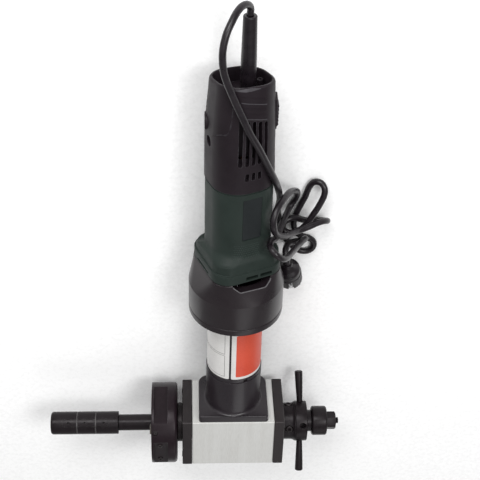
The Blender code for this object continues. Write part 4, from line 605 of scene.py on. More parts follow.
def socket_screw(name, radius, low, high, key, place, looks, fillet=0.0004):
    """A screw whose head ends at high, with a hexagonal socket in it."""
    profile = [(low, radius), (high, radius, fillet), (high, key)]
    screw = turned(name, profile, looks, place, steps=40)
    depth = min(0.6 * (high - low), 1.6 * key)
    return cut(screw, [prism("key", hexagon(key), high - depth, high + 0.002, None, place)])


def tree_of(piece):
    """A piece's surface, for rays to hit."""
    bpy.context.view_layer.update()
    return BVHTree.FromObject(piece, bpy.context.evaluated_depsgraph_get())


def surface(piece):
    """What finds the spot on a piece's surface, and its normal, at a turn about the column."""
    tree = tree_of(piece)

    def find(degrees, height):
        turn = math.radians(degrees)
        outward = Vector((math.cos(turn), 0, -math.sin(turn)))
        spot, normal, _, _ = tree.ray_cast(Vector((0, height, 0)) + 0.1 * outward, -outward)
        return spot, normal

    return find


def along(find, route, pieces=8):
    """The spots and normals that a finder gives along a route of two values."""
    spots = []
    for one, two in zip(route, route[1:]):
        for step in range(pieces):
            spots.append(find(*(a + (b - a) * (step / pieces) for a, b in zip(one, two))))
    spots.append(find(*route[-1]))
    return spots


def strip(name, spots, width, low, high, looks, ends=0):
    """A strip through spots on a surface, from low to high above it, with its ends drawn in."""
    sections = []
    for index, (spot, normal) in enumerate(spots):
        onward = spots[min(index + 1, len(spots) - 1)][0] - spots[max(index - 1, 0)][0]
        from_end = min(index, len(spots) - 1 - index)
        share = min(1, 0.15 + 0.85 * from_end / ends) if ends else 1
        side = normal.cross(onward).normalized() * share * width / 2
        sections.append([spot - side + normal * low, spot + side + normal * low,
                         spot + side + normal * high, spot - side + normal * high])
    return skin(name, sections, looks, Matrix.Identity(4))


# ---- camera, light and floor

camera_data = bpy.data.cameras.new("camera")
camera_data.lens = 85.24
camera_data.sensor_width = 36
camera_data.clip_start = 0.05
camera = placed("camera", camera_data)
camera.matrix_world = Matrix((
    (0.99901, 0.00341, -0.04432, -0.0526),
    (0.02471, 0.78622, 0.61745, 1.0991),
    (0.03695, -0.61794, 0.78536, 0.9822),
    (0, 0, 0, 1)))
bpy.context.scene.camera = camera


def softbox(name, place, aim, width, height, power):
    """An area light that faces a point."""
    data = bpy.data.lights.new(name, "AREA")
    data.shape = "RECTANGLE"
    data.size = width
    data.size_y = height
    data.energy = power
    made = placed(name, data)
    made.location = place
    made.rotation_euler = (Vector(aim) - Vector(place)).to_track_quat("-Z", "Y").to_euler()


softbox("key", (0.85, 1.25, 1.75), (0, 0.25, 0), 0.8, 0.8, 20)
softbox("fill", (-1.5, 0.9, 1.2), (0, 0.25, 0), 1.0, 1.0, 3.4)
softbox("top", (0.0, 0.9, 2.4), (0, 0.25, 0), 1.2, 1.2, 5)
softbox("back", (-0.35, 1.95, 1.05), (0, 0.05, 0), 1.1, 0.7, 25)
softbox("side", (0.75, -1.50, 1.85), (0, 0.20, 0), 1.5, 1.0, 6)
bpy.context.scene.view_settings.view_transform = "Standard"
world = bpy.data.worlds.new("studio")
bpy.context.scene.world = world
world.use_nodes = True
background = world.node_tree.nodes["Background"]
background.inputs["Color"].default_value = (1, 1, 1, 1)
background.inputs["Strength"].default_value = 0.38

FLOOR = finish("pale_floor", (0.93, 0.93, 0.93), (0.96, 0.96, 0.96), (0.60, 0.75), cloud=3,
               grain=200, depth=0.00001)
bm = bmesh.new()
bmesh.ops.create_grid(bm, x_segments=8, y_segments=8, size=6.0,
                      matrix=Matrix.Translation((0, 0, BENCH)))
floor = shaded("floor", bm, FLOOR)
floor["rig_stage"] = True


# ---- cord and plug

def between(first, second, low, high, at):
    """The point that a curve's step reaches at a value between two others."""
    return first.lerp(second, (at - low) / (high - low))


def eased(route, step):
    """Points about one step apart on the smooth curve through a route's points."""
    points = [Vector(point) for point in route]
    points = [2 * points[0] - points[1]] + points + [2 * points[-1] - points[-2]]
    fine = []
    for a, b, c, d in zip(points, points[1:], points[2:], points[3:]):
        t1 = (b - a).length ** 0.5
        t2 = t1 + (c - b).length ** 0.5
        t3 = t2 + (d - c).length ** 0.5
        for index in range(12):
            at = t1 + (t2 - t1) * index / 12
            ab = between(a, b, 0, t1, at)
            bc = between(b, c, t1, t2, at)
            cd = between(c, d, t2, t3, at)
            ac = between(ab, bc, 0, t2, at)
            bd = between(bc, cd, t1, t3, at)
            fine.append(between(ac, bd, t1, t2, at))
    fine.append(points[-2])
    reach = [0.0]
    for low, high in zip(fine, fine[1:]):
        reach.append(reach[-1] + (high - low).length)
    count = max(2, round(reach[-1] / step))
    spaced = []
    spot = 0
    for index in range(count + 1):
        wanted = reach[-1] * index / count
        while spot < len(fine) - 2 and reach[spot + 1] < wanted:
            spot += 1
        spaced.append(between(*fine[spot:spot + 2], *reach[spot:spot + 2], wanted))
    return spaced


straight = 2 * CORD_RADIUS
heading = Vector(PLUG_HEADING_SHARES).normalized()
neck_place = Vector(PLUG_FACE_PLACE) - PLUG_LENGTH * heading
cord_start = Vector((BOOT_SHIFT, BOOT_END + FIT, 0))
middle = (Vector(CORD_RUN[-1]) + Vector(CORD_LOOPS[0])) / 2
onward = (Vector(CORD_LOOPS[0]) - Vector(CORD_RUN[-1])).normalized()
run_end = middle - onward * FIT / 2
loops_start = middle + onward * FIT / 2
last = neck_place - heading * FIT
cord_points = [cord_start]
cord_points += eased([cord_start + Vector((0, straight, 0))] + CORD_RUN
                     + [run_end - onward * straight], CORD_RUN_STEP)
cord_points += [run_end, loops_start]
cord_points += eased([loops_start + onward * straight] + CORD_LOOPS[1:]
                     + [last - heading * straight], CORD_LOOP_STEP)
cord_points += [last]
cord_points = eased(cord_points, CORD_FINE_STEP)

curve = bpy.data.curves.new("power_cord", "CURVE")
curve.dimensions = "3D"
curve.bevel_depth = CORD_RADIUS
curve.bevel_resolution = 6
curve.use_fill_caps = True
spline = curve.splines.new("POLY")
spline.points.add(len(cord_points) - 1)
for knot, point in zip(spline.points, cord_points):
    knot.co = (*point, 1)
curve.materials.append(RUBBER)
power_cord = placed("power_cord", curve)
stands_for(power_cord, "cord_run", "cord_loops")

side = Vector((-heading.y, heading.x, 0)).normalized()
PLUG = Matrix((side, heading.cross(side), heading)).transposed().to_4x4()
PLUG.translation = neck_place
plug = turned("plug_body", [
    (0, 0.0042), (0, 0.0050, 0.0006), (0.0040, 0.0056, 0.004), (0.0085, 0.0092, 0.004),
    (0.0125, 0.0135, 0.004), (0.0165, 0.0138, 0.003), (0.0215, 0.0138),
    (0.0218, PLUG_RADIUS, 0.0004), (PLUG_LENGTH, PLUG_RADIUS, 0.0010), (PLUG_LENGTH, 0.004)],
    RUBBER, PLUG, steps=80)


def notch_pair(name, outline, inner, outer, looks):
    """A prism in each of the plug's two notches, between two distances from its axis."""
    return [prism(name, outline, *sorted((sign * inner, sign * outer)), looks, PLUG @ SWAP_YZ)
            for sign in (-1, 1)]


outline = slot_outline(-0.003, 0.003, PLUG_LENGTH - 0.017, PLUG_LENGTH + 0.004, 0.0012)
tools = notch_pair("notch", outline, PLUG_RADIUS - 0.0024, PLUG_RADIUS + 0.002, None)
for index in range(PLUG_RIBS):
    place = PLUG @ Matrix.Rotation((index + 0.5) * math.tau / PLUG_RIBS, 4, "Z")
    tools.append(box("rib_gap", (PLUG_RADIUS - 0.0005, -0.0005, 0.0236),
                     (PLUG_RADIUS + 0.002, 0.0005, PLUG_LENGTH - 0.0016), place))
cut(plug, tools)
stands_for(plug, "power_plug")
outline = slot_outline(-0.0022, 0.0022, PLUG_LENGTH - 0.0160, PLUG_LENGTH - 0.0002, 0.0008)
contacts = [bevelled(contact, 0.0004) for contact in notch_pair(
    "contact", outline, PLUG_RADIUS - 0.0030, PLUG_RADIUS - 0.0010, BRIGHT)]
contacts = added(joined("plug_contacts", contacts), "machine")
for index, sign in enumerate((-1, 1)):
    place = PLUG @ Matrix.Translation((sign * PIN_PITCH / 2, 0, 0))
    pin = turned("plug_pin_%d_fine" % (index + 1), [
        (0.034, 0.0010), (0.034, 0.0024), (0.0450, 0.0024), (0.0451, 0.00235),
        (0.059, 0.00235, 0.0016), (0.059, 0.0004)], BRIGHT, place, steps=32)
    stands_for(pin, "plug_pin_%d" % (index + 1))

BOOT = COLUMN @ Matrix.Translation((BOOT_SHIFT, 0, 0))
stands_for(turned("cord_sleeve", [
    (END_WALL - FIT, 0.0040), (END_WALL - FIT, 0.0045), (0.5113, 0.0045), (0.5113, 0.0078),
    (0.5520, 0.0079), (BOOT_END, 0.0070, 0.0016), (BOOT_END, 0.0040), (BOOT_END - 0.004, 0.0038)],
    RUBBER, BOOT, steps=48), "cord_boot")


# ---- spindle, cutter head

stands_for(turned("spindle_fine", [
    (-0.0682, 0.0134), (-0.0682, 0.024, 0.0004), (-0.0626, 0.024, 0.0004), (-0.0626, 0.020),
    (-0.0500, 0.020), (-0.0500, 0.019), (0.034, 0.019), (0.034, 0.0167), (0.0595, 0.0167),
    (0.0595, 0.0134)], BLACK_OXIDE, SPINDLE, True), "spindle")

head = turned("cutter_head_fine", [
    (HEAD_LEFT, HEAD_BORE, 0.0004), (HEAD_LEFT, HEAD_RADIUS, 0.0009),
    (HEAD_RIGHT, HEAD_RADIUS, 0.0042), (HEAD_RIGHT, HEAD_BORE, 0.0004)],
    CAST_BLACK, SPINDLE, True, steps=144)
tools = []
for index in range(4):
    place = around_x(HEAD_RIB_TURN - math.pi / 4 + index * math.pi / 2)
    tools.append(box("flat", (HEAD_LEFT + 0.003, -0.026, 0.0425),
                     (HEAD_RIGHT - 0.0115, 0.026, 0.06), place))
for index in range(2):
    place = around_x(HEAD_RIB_TURN + index * math.pi)
    tools.append(box("tool_slot", (HEAD_LEFT - 0.002, -0.0045, 0.020),
                     (HEAD_LEFT + 0.0103, 0.0045, 0.040), place))
    tools.append(turned("screw_hole", [(0.0397, 0.0029), (0.0489, 0.0029), (0.0505, 0.0042)], None,
                        place @ Matrix.Translation((HEAD_LEFT + TOOL_SCREW_INSET, 0, 0)),
                        steps=32))
cut(head, tools)
stands_for(head, "cutter_head")
for index, name in enumerate(("front", "rear")):
    place = around_x(HEAD_RIB_TURN + index * math.pi, HEAD_LEFT + TOOL_SCREW_INSET)
    screw = socket_screw("tool_screw_%s_fine" % name, 0.0026, 0.0403, 0.0485, 0.0013, place,
                         BLACK_OXIDE)
    stands_for(screw, "tool_screw_" + name)
screws = []
for side_turn in (0, math.pi):
    for shift in (-0.0175, 0.0155):
        place = around_x(HEAD_RIB_TURN + math.pi / 4 + side_turn, FLAT_SCREW_X)
        place = place @ Matrix.Translation((0, -shift, 0))
        screws.append(socket_screw("flat_screw", 0.0031, 0.0415, 0.0436, 0.0016, place,
                                   BLACK_OXIDE))
added(joined("head_flat_screws", screws), "cutter")


# ---- mandrel

def grooves(floor, *edge):
    """The points of both rings' grooves. Edge is what follows X in the points at their mouths."""
    points = []
    for place in reversed(RING_PLACES):
        high, low = place + GROOVE_HALF, place - GROOVE_HALF
        points += [(high, *edge), (high, floor), (low, floor), (low, *edge)]
    return points


mandrel_head = turned("mandrel_head_fine", [
    (MANDREL_LEFT + 0.006, 0.008), (MANDREL_RIGHT, 0.008), (MANDREL_RIGHT, MANDREL_RADIUS, 0.0007),
    *grooves(0.0125, MANDREL_RADIUS, 0.0002), (MANDREL_LEFT, MANDREL_RADIUS, 0.003),
    (MANDREL_LEFT, 0.0036), (MANDREL_LEFT + 0.003, 0.0008)], TURNED_BLACK, SPINDLE)
tools = [box("block_slot", (BLOCK_LEFT - FIT, -0.0046, 0.004), (BLOCK_RIGHT + FIT, 0.0046, 0.017),
             around_x(BLOCK_TURN + index * math.tau / 3)) for index in range(3)]
stands_for(cut(mandrel_head, tools), "mandrel_head")

shaft = turned("mandrel_shaft_fine", [
    (-0.1500, 0.0045), (-0.1500, 0.0076), (-0.1417, 0.0076), (-0.1417, 0.010, 0.0004),
    (0.0989, 0.010), (0.0989, 0.009), (0.1174, 0.009), (0.1174, 0.0045)],
    TURNED_BLACK, SPINDLE, True)
keyway = box("keyway", (0.020 - 0.0386, -0.0023, 0.0079), (0.0506, 0.0023, 0.014), around_x(0))
stands_for(cut(shaft, [keyway]), "mandrel_shaft")

outline = [(BLOCK_LEFT, 0.0150), (BLOCK_LEFT, 0.0095), (BLOCK_LEFT + 0.0125, 0.0047),
           (BLOCK_RIGHT - 0.0190, 0.0047), (BLOCK_RIGHT - 0.0180, 0.0080),
           (BLOCK_RIGHT - 0.0080, 0.0047), (BLOCK_RIGHT, 0.0047), (BLOCK_RIGHT, 0.0150),
           *grooves(GROOVE_FLOOR, 0.0150)]
for index in range(3):
    place = around_x(BLOCK_TURN + index * math.tau / 3)
    block = prism("grip_block_%d_fine" % (index + 1), outline, -0.0043, 0.0043, TURNED_BLACK,
                  place @ SWAP_YZ)
    crown = [(BLOCK_LEFT - 0.01, 0.01395), (BLOCK_RIGHT + 0.01, 0.01395)]
    cut(block, [turned("crown", crown, None, SPINDLE, steps=240)], "INTERSECT")
    holes = [turned("hole", [(0.0104, 0.0011), (0.0135, 0.0011), (0.0143, 0.0019)], None,
                    place @ Matrix.Translation((spot, 0, 0)), steps=24)
             for spot in (-0.2035, -0.1835, -0.1600)]
    stands_for(cut(block, holes), "grip_block_%d" % (index + 1))

for index, place in enumerate(RING_PLACES):
    turns = [k * math.tau / 12 for k in range(12)]
    wire = [(place + RING_WIRE * math.cos(turn), RING_RADIUS + RING_WIRE * math.sin(turn))
            for turn in turns]
    ring = turned("block_ring_%d_fine" % (index + 1), wire, SPRING, SPINDLE, True)
    stands_for(ring, "block_ring_%d" % (index + 1))


# ---- end plates

for name, sign in (("left", -1), ("right", 1)):
    lows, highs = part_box("end_plate_" + name)
    face = highs[0] if sign > 0 else -lows[0]
    screws = []
    for y_side, y_inset in ((lows, 1), (highs, -1)):
        for z_side, z_inset in ((lows, 1), (highs, -1)):
            place = Matrix.Translation((0, y_side[1] + y_inset * PLATE_SCREW_INSET,
                                        z_side[2] + z_inset * PLATE_SCREW_INSET))
            place = place @ Matrix(((0, 0, sign, 0), (0, 1, 0, 0), (-sign, 0, 0, 0), (0, 0, 0, 1)))
            screws.append(socket_screw("plate_screw", 0.0036, face - 0.0010, face + 0.0005, 0.0018,
                                       place, BLACK_OXIDE, 0.0002))
    added(joined("plate_screws_" + name, screws), "machine")


# ---- feed side

guide = turned("guide_sleeve_fine", [
    (-0.060, 0.0104), (-0.060, 0.0130), (HUB_LEFT, 0.0130), (HUB_LEFT, 0.0226, 0.0008),
    (0.0715, 0.0226, 0.004), (0.0745, 0.0229, 0.002), (0.0765, 0.0237, 0.002), (0.0776, 0.0246),
    (HUB_RIGHT, 0.0245), (HUB_RIGHT, 0.016), (SPIGOT_END, 0.016), (SPIGOT_END, 0.0104)],
    TURNED_BLACK, SPINDLE, True)
tools = [box("key_seat", (0.0197, -0.0023, 0.0082), (0.0503, 0.0023, 0.012), around_x(0))]
for turn in GUIDE_SCREW_TURNS:
    tools.append(turned("screw_hole", [(0.0153, 0.0045), (0.0212, 0.0045), (0.0240, 0.0060)], None,
                        around_x(turn, GUIDE_SCREW_X), steps=40))
stands_for(cut(guide, tools), "guide_sleeve")
for index, turn in enumerate(GUIDE_SCREW_TURNS):
    screw = socket_screw("guide_screw_%d_fine" % (index + 1), 0.0042, 0.0156, 0.0240, 0.0024,
                         around_x(turn, GUIDE_SCREW_X), BLACK_OXIDE, 0.0010)
    stands_for(screw, "guide_screw_%d" % (index + 1))

hub = turned("feed_hub_fine", [
    (FEED_LEFT, 0.0164), (FEED_LEFT, FEED_RADIUS, 0.0010), (FEED_RIGHT, FEED_RADIUS, 0.0012),
    (FEED_RIGHT, 0.0134, 0.0010), (FEED_END, 0.0134, 0.0006), (FEED_END, 0.01035, 0.0003),
    (0.0843, 0.01035), (0.0843, 0.0164)], TURNED_BLACK, SPINDLE, True)
tools = []
for index in range(4):
    place = around_x(HANDLE_TURN + index * math.pi / 2, HANDLE_X if index % 2 else HANDLE_SEAT_X)
    tools.append(turned("handle_hole", [(0.0142, 0.0033), (0.0236, 0.0033), (0.0262, 0.0059)], None,
                        place, steps=40))
stands_for(cut(hub, tools), "feed_hub")
for index, name in enumerate(("rear", "front")):
    place = around_x(HANDLE_TURN + index * math.pi, HANDLE_SEAT_X)
    seat = Matrix.Translation((0, 0, HANDLE_SEAT_REACH))
    lean = seat @ Matrix.Rotation(-HANDLE_LEANS[index], 4, "Y")
    place = place @ lean @ Matrix.Translation((0, 0, -HANDLE_SEAT_REACH))
    handle = turned("feed_handle_%s_fine" % name, [
        (0.0145, 0.0026), (0.0149, 0.0030), (HANDLE_SEAT_REACH, 0.0030, 0.0004),
        (0.0252, 0.0036, 0.001), (0.0420, 0.0043, 0.02), (HANDLE_REACH, 0.0050, 0.0014),
        (HANDLE_REACH, 0.001)], TURNED_BLACK, place, steps=56)
    stands_for(handle, "feed_handle_" + name)

stands_for(turned("stop_collar_fine", [
    (0.0995, 0.0093), (0.0995, 0.0182, 0.0026), (0.1185, 0.0182, 0.0026), (0.1185, 0.0046, 0.0004),
    (0.1177, 0.0046), (0.1177, 0.0093)], TURNED_BLACK, SPINDLE, True), "stop_collar")

nut = turned("drawbar_nut_fine", [
    (0.1188, 0.0043), (0.1188, 0.0104), (0.1194, 0.0116), (0.1284, 0.0116), (0.1300, 0.0098),
    (0.1300, 0.0052, 0.0003), (0.1292, 0.0043)], TURNED_BLACK, SPINDLE, True)
cut(nut, [prism("hex", hexagon(0.0116), 0.118, 0.131, None, SPINDLE)], "INTERSECT")
stands_for(nut, "drawbar_nut")

profile = [(-0.2135, 0.002), (-0.2135, 0.0074, 0.0004), (-0.2080, 0.0074), (-0.1978, 0.0040),
           (-0.1730, 0.0040), (-0.1730, 0.0074), (-0.1628, 0.0040)]
thread_start = 0.1330 - THREAD_TURNS * THREAD_PITCH
profile.append((thread_start, 0.0040))
for index in range(THREAD_TURNS):
    profile += [(thread_start + (index + 0.5) * THREAD_PITCH, 0.0034),
                (thread_start + (index + 1) * THREAD_PITCH, 0.0040)]
profile += [(0.1336, 0.0034), (0.1336, 0.0008)]
stands_for(turned("drawbar_fine", profile, TURNED_BLACK, SPINDLE, steps=48, angle=40), "drawbar")


# ---- column

def flange(inset, height):
    """The flange's outline, drawn in by an inset: small corners in front, wide ones behind."""
    points = []
    for index in range(STEPS):
        angle = (index + 0.5) * math.tau / STEPS
        corner = 0.0035 if math.sin(angle) < 0 else 0.0125
        x = math.copysign(0.042 - corner, math.cos(angle)) + (corner - inset) * math.cos(angle)
        y = math.copysign(0.036 - corner, math.sin(angle)) + (corner - inset) * math.sin(angle)
        points.append((x, y, height))
    return points


sections = [flange(0.0003, 0.0743), flange(0, 0.0746)]
for step in range(5):
    angle = step * math.pi / 8
    sections.append(flange(0.0014 * (1 - math.cos(angle)), 0.0824 + 0.0014 * math.sin(angle)))
neck = [(0.0838, 0.0360, 0.0003), (0.0842, 0.0352), (0.0852, 0.0341), (0.0866, 0.0334),
        (0.0888, NECK_RADIUS), (0.1364, NECK_RADIUS, 0.0002), (0.1366, 0.0323), (0.1374, 0.0323),
        (0.1376, NECK_RADIUS, 0.0002), (NECK_TOP, NECK_RADIUS, 0.0007), (NECK_TOP, SPIGOT_SEAT),
        (0.0997, SPIGOT_SEAT), (0.0997, TUBE_BORE), (0.0743, TUBE_BORE)]
sections += [circle(radius, height) for height, radius in rounded(neck, False, 3)]
socket = skin("column_socket_fine", sections, GLOSS_BLACK, COLUMN, True)
set_place = around_y(SET_SCREW_TURN, SET_SCREW_Y)
cut(socket, [turned("set_hole", [(0.026, 0.0024), (0.0324, 0.0024), (0.0340, 0.0038)], None,
                    set_place, steps=32)])
stands_for(socket, "column_socket")
added(socket_screw("neck_set_screw", 0.0023, 0.0275, 0.0305, 0.0012, set_place, BLACK_OXIDE),
      "machine")

stands_for(turned("column_tube_fine", [
    (0.1000, TUBE_BORE), (0.1000, TUBE_SPIGOT), (0.1423, TUBE_SPIGOT), (0.1423, TUBE_RADIUS),
    (0.2314, TUBE_RADIUS), (0.2314, TUBE_SPIGOT), (BELL_BASE_TOP, TUBE_SPIGOT),
    (BELL_BASE_TOP, TUBE_BORE)], GLOSS_BLACK, COLUMN, True), "column_tube")


def patch(name, low_radius, high_radius, first, last_turn, low, high, looks, steps=40, corner=0.0):
    """A thin curved sheet about the column, between two turns in degrees and two heights."""
    bm = bmesh.new()
    rows = []
    for index in range(steps + 1):
        turn = math.radians(first + (last_turn - first) * index / steps)
        edge = min(index, steps - index) * math.radians(last_turn - first) / steps * high_radius
        draw = corner - math.sqrt(corner ** 2 - (corner - edge) ** 2) if edge < corner else 0
        row = []
        for radius, height in ((low_radius, low + draw), (high_radius, low + draw),
                               (high_radius, high - draw), (low_radius, high - draw)):
            row.append(bm.verts.new((radius * math.cos(turn), height, -radius * math.sin(turn))))
        rows.append(row)
    for one, two in zip(rows, rows[1:]):
        for k in range(4):
            bm.faces.new((one[k], one[(k + 1) % 4], two[(k + 1) % 4], two[k]))
    bm.faces.new(rows[0])
    bm.faces.new(rows[-1])
    return shaded(name, bm, looks)


for name, *turns in (("left_label", -213, -102.6), ("right_label_border", -98.2, 12)):
    label = patch(name, TUBE_RADIUS, LABEL_RADIUS, *turns, LABEL_LOW, LABEL_HIGH, WHITE_LABEL,
                  corner=0.0008)
    added(label, "machine")
added(patch("right_label_field", PRINT_FOOT, 0.03220, -88.3, 7, LABEL_LOW + 0.0038,
            LABEL_HIGH - 0.0038, RED_LABEL, corner=0.0006), "machine")
lines = []
for low, high in ((0.1458, 0.1796), (0.1816, 0.2132)):
    for turn in LINE_TURNS[::-1]:
        lines.append(patch("line", PRINT_FOOT, LINE_RADIUS, turn - 0.45, turn + 0.45, low, high,
                           GREY_LINE, 4))
    for height in (low, high - LINE_WIDTH):
        lines.append(patch("line", PRINT_FOOT, LINE_RADIUS, *LINE_TURNS, height,
                           height + LINE_WIDTH, GREY_LINE, 36))
added(joined("left_label_lines", lines), "machine")

stands_for(turned("bell_base_fine", [
    (BELL_FOOT, SPIGOT_SEAT), (BELL_FOOT, BELL_RADIUS, 0.0016),
    (BELL_BASE_TOP, BELL_RADIUS, 0.0008), (BELL_BASE_TOP, SPIGOT_SEAT)],
    BELL_BLACK, COLUMN, True, steps=144), "bell_base")

sections = [disc(0.0423, 0.2405)]
sections += [disc(radius, height) for height, radius in rounded(
    [(0.2405, 0.0423), (0.2405, BELL_RADIUS, 0.0008), (SHOULDER - 0.0003, BELL_RADIUS)])[1:]]
for step in range(9):
    share = step / 8
    bent = 1.25 * share - 0.25 * share ** 2
    half = BELL_RADIUS + (0.0415 - BELL_RADIUS) * bent
    corner = BELL_RADIUS + (0.0205 - BELL_RADIUS) * bent
    sections.append(squared(half, corner, SHOULDER + (0.2993 - SHOULDER) * share))
sections.append(squared(0.0411, 0.0201, BELL_TOP))
sections += [disc(0.036, BELL_TOP), disc(0.036, 0.2665), disc(0.0423, 0.2665)]
bell = skin("bell_adapter_fine", sections, BELL_BLACK, COLUMN, True, angle=11)
FRONT = around_y(MOTOR_TURN - math.pi / 2)
outline = rounded([(-0.0245, 0.302), (-0.0235, 0.2975, 0.003), (-0.0165, 0.2907, 0.005),
                   (0.0140, 0.2895, 0.006), (0.0210, 0.2960, 0.005), (0.0220, 0.302)])
tree = tree_of(bell)


def seen_from_front(x, y):
    """The spot on the bell's front at two local values, and its normal."""
    return tree.ray_cast(FRONT @ Vector((x, y, 0.1)), -FRONT.col[2].to_3d())[:2]


rim_route = [point for point in outline if point[1] < 0.2990]
cut(bell, [prism("notch", outline, 0.018, 0.060, None, FRONT)], angle=11)
stands_for(bell, "bell_adapter")
rim_spots = along(seen_from_front, rim_route, 3)
# A lighter strip round the notch's edge: a painted highlight where light catches the rim.
added(strip("notch_rim_highlight", rim_spots, 0.0010, -0.0010, 0.0003, NOTCH_RIM_HIGHLIGHT), "machine")


# ---- motor

def smooth(share):
    """An even ease from nought to one, and level beyond."""
    share = min(1, max(0, share))
    return share * share * (3 - 2 * share)


def lower_behind(points):
    """The skirt's section with its rear side let down."""
    return [(x, y, z - 0.0065 * smooth((y + 0.002) / 0.020)) for x, y, z in points]


def scooped(points, share):
    """The flare's section with its front side raised by a share of the most."""
    return [(x, y, z + share * (0.0030 + 0.0125 * smooth((0.012 - y) / 0.045)))
            for x, y, z in points]


sections = [disc(0.0143, MOTOR_FOOT)] + [squared(*row) for row in (
    (0.0409, 0.0209, MOTOR_FOOT), (0.0412, 0.0212, MOTOR_FOOT + 0.0004),
    (0.0412, 0.0212, 0.3112), (0.0409, 0.0209, 0.3119), (0.0403, 0.0205, 0.3122),
    (0.0397, 0.0205, 0.3123), (0.0395, 0.0207, 0.3128))]
sections.append(lower_behind(squared(0.0393, 0.0210, 0.3225)))
for step in range(13):
    share = step / 12
    drop = smooth(1 - (1 - share) ** 1.7)
    points = squared(0.0391 - 0.0046 * drop, 0.0212 + 0.0078 * drop, 0.3230)
    sections.append(scooped(lower_behind(points), share))
sections += [squared(*row) for row in (
    (0.0345, 0.0290, 0.4118), (0.0337, 0.0282, 0.4121), (0.0337, 0.0282, 0.4132),
    (0.0344, 0.0289, 0.4134), (0.0342, 0.0287, 0.4140))]
sections += [disc(0.0313, 0.4140), disc(0.0313, 0.3108), disc(0.0143, 0.3108)]
motor = skin("motor_housing_fine", sections, GREEN, COLUMN, True)
tools = []
for middle_x in (FLARE_SLOTS_X - FLARE_SLOT_SHIFT, FLARE_SLOTS_X + FLARE_SLOT_SHIFT):
    outline = slot_outline(middle_x - FLARE_SLOT_HALF, middle_x + FLARE_SLOT_HALF, 0.3026, 0.3070,
                           0.0006)
    tools.append(prism("flare_slot", outline, 0.0360, 0.045, None, FRONT))
LEFT = around_y(MOTOR_TURN + math.pi)
tools.append(prism("side_slot", slot_outline(-0.0155, 0.0135, 0.3024, 0.3046, 0.0006),
                   0.0385, 0.045, None, LEFT))
tools.append(prism("plate_seat", slot_outline(-0.0112, 0.0112, 0.3525, 0.4055, 0.0012),
                   0.0334, 0.040, None, FRONT))
cut(motor, tools)
stands_for(motor, "motor_housing")
plate = prism("name_plate", slot_outline(-0.0107, 0.0107, 0.3530, 0.4050, 0.0010),
              0.0330, 0.0338, PANEL, FRONT)
added(bevelled(plate, 0.0002), "machine")
find = surface(motor)
bm = bmesh.new()
for row in range(DOT_ROWS):
    for column in range(DOT_COLUMNS):
        turn = DOTS_START + DOT_TURN * (column + 0.5 * (row % 2))
        spot, normal = find(turn, DOTS_LOW + DOT_PITCH * row)
        place = Matrix.Translation(spot - 0.0001 * normal)
        bmesh.ops.create_icosphere(bm, subdivisions=1, radius=DOT_RADIUS, matrix=place)
added(shaded("grip_dots", bm, GRIP_GREEN, 60), "machine")


def drawn_in(points, share):
    """The cap's section with its right side drawn in by a share of the most."""
    return [(x - CAP_DRAW * share * max(0, x) / CAP_HALF, y, z) for x, y, z in points]


cap_sections = [disc(0.0312, SEAM), squared(0.0351, 0.0295, SEAM),
                squared(0.0354, 0.0298, SEAM + 0.0005),
                drawn_in(squared(0.0354, 0.0298, 0.4550), 0.8)]
for step in range(13):
    share = step / 12
    drop = 0.25 * smooth(share) + 0.75 * share
    points = squared(0.0354 - 0.0042 * drop, 0.0298 - 0.0023 * drop - 0.002 * smooth(share),
                     CAP_SHOULDER - 0.003 + 0.0540 * share, CAP_RIM_SLOPE * smooth(share))
    cap_sections.append(drawn_in(points, 1 - share))
for inset, height in ((0.0004, 0.5306), (0.0018, 0.5322), (0.0030, 0.5322), (0.0034, 0.5314),
                      (0.0036, 0.5290)):
    cap_sections.append(squared(0.0312 - inset, 0.0255 - inset, height, CAP_RIM_SLOPE))
cap_sections.append(squared(0.0278, 0.0241, 0.5110))
hole = [(x + BOOT_SHIFT, y, 0.5110) for x, y, _ in disc(0.0048, 0)]
cap_sections += [hole, [(x, y, END_WALL) for x, y, _ in hole]]
cap_sections += [disc(0.0280, END_WALL), disc(0.0280, 0.4660), disc(0.0113, 0.4660),
                 disc(0.0113, 0.4550), disc(0.0312, 0.4550)]
cap = skin("rear_cap_fine", cap_sections, BLACK_PLASTIC, COLUMN, True)


def vent(turn, low, high):
    """What cuts one vent at a turn about the column."""
    outline = slot_outline(-VENT_HALF, VENT_HALF, low, high, VENT_CORNER)
    return prism("vent", outline, 0.026, 0.040, None, around_y(turn))


tools = []
for index in range(5):
    turn = math.radians(VENT_TURN) + (index - 2) * VENT_PITCH
    tools += [vent(turn + side_turn, 0.4484, 0.5025 - 0.0015 * index) for side_turn in (0, math.pi)]
for index in range(3):
    tools.append(vent(math.radians(VENT_TURN + 0.5) + (index - 1) * VENT_PITCH, 0.4300, 0.4395))
tools.append(box("switch_slot", (-0.0028, 0.4864, 0.026), (0.0028, 0.4973, 0.040), around_y(0)))
find = surface(cap)
seam_route = [(-106, 0.5180), (-107.5, 0.5010), (-110, 0.4920), (-113, 0.4865), (-117, 0.4845),
              (-126, 0.4830), (-144, 0.4775)]
tools.append(strip("tongue_seam", along(find, seam_route), 0.0006, -0.0006, 0.001, None))
slanted = around_y(math.radians(-158), 0.4655) @ Matrix.Rotation(math.radians(20), 4, "Z")
tools.append(prism("screw_recess", slot_outline(-0.0044, 0.0044, -0.0062, 0.0062, 0.0043),
                   0.0318, 0.040, None, slanted))
cut(cap, tools)
stands_for(cap, "rear_cap")
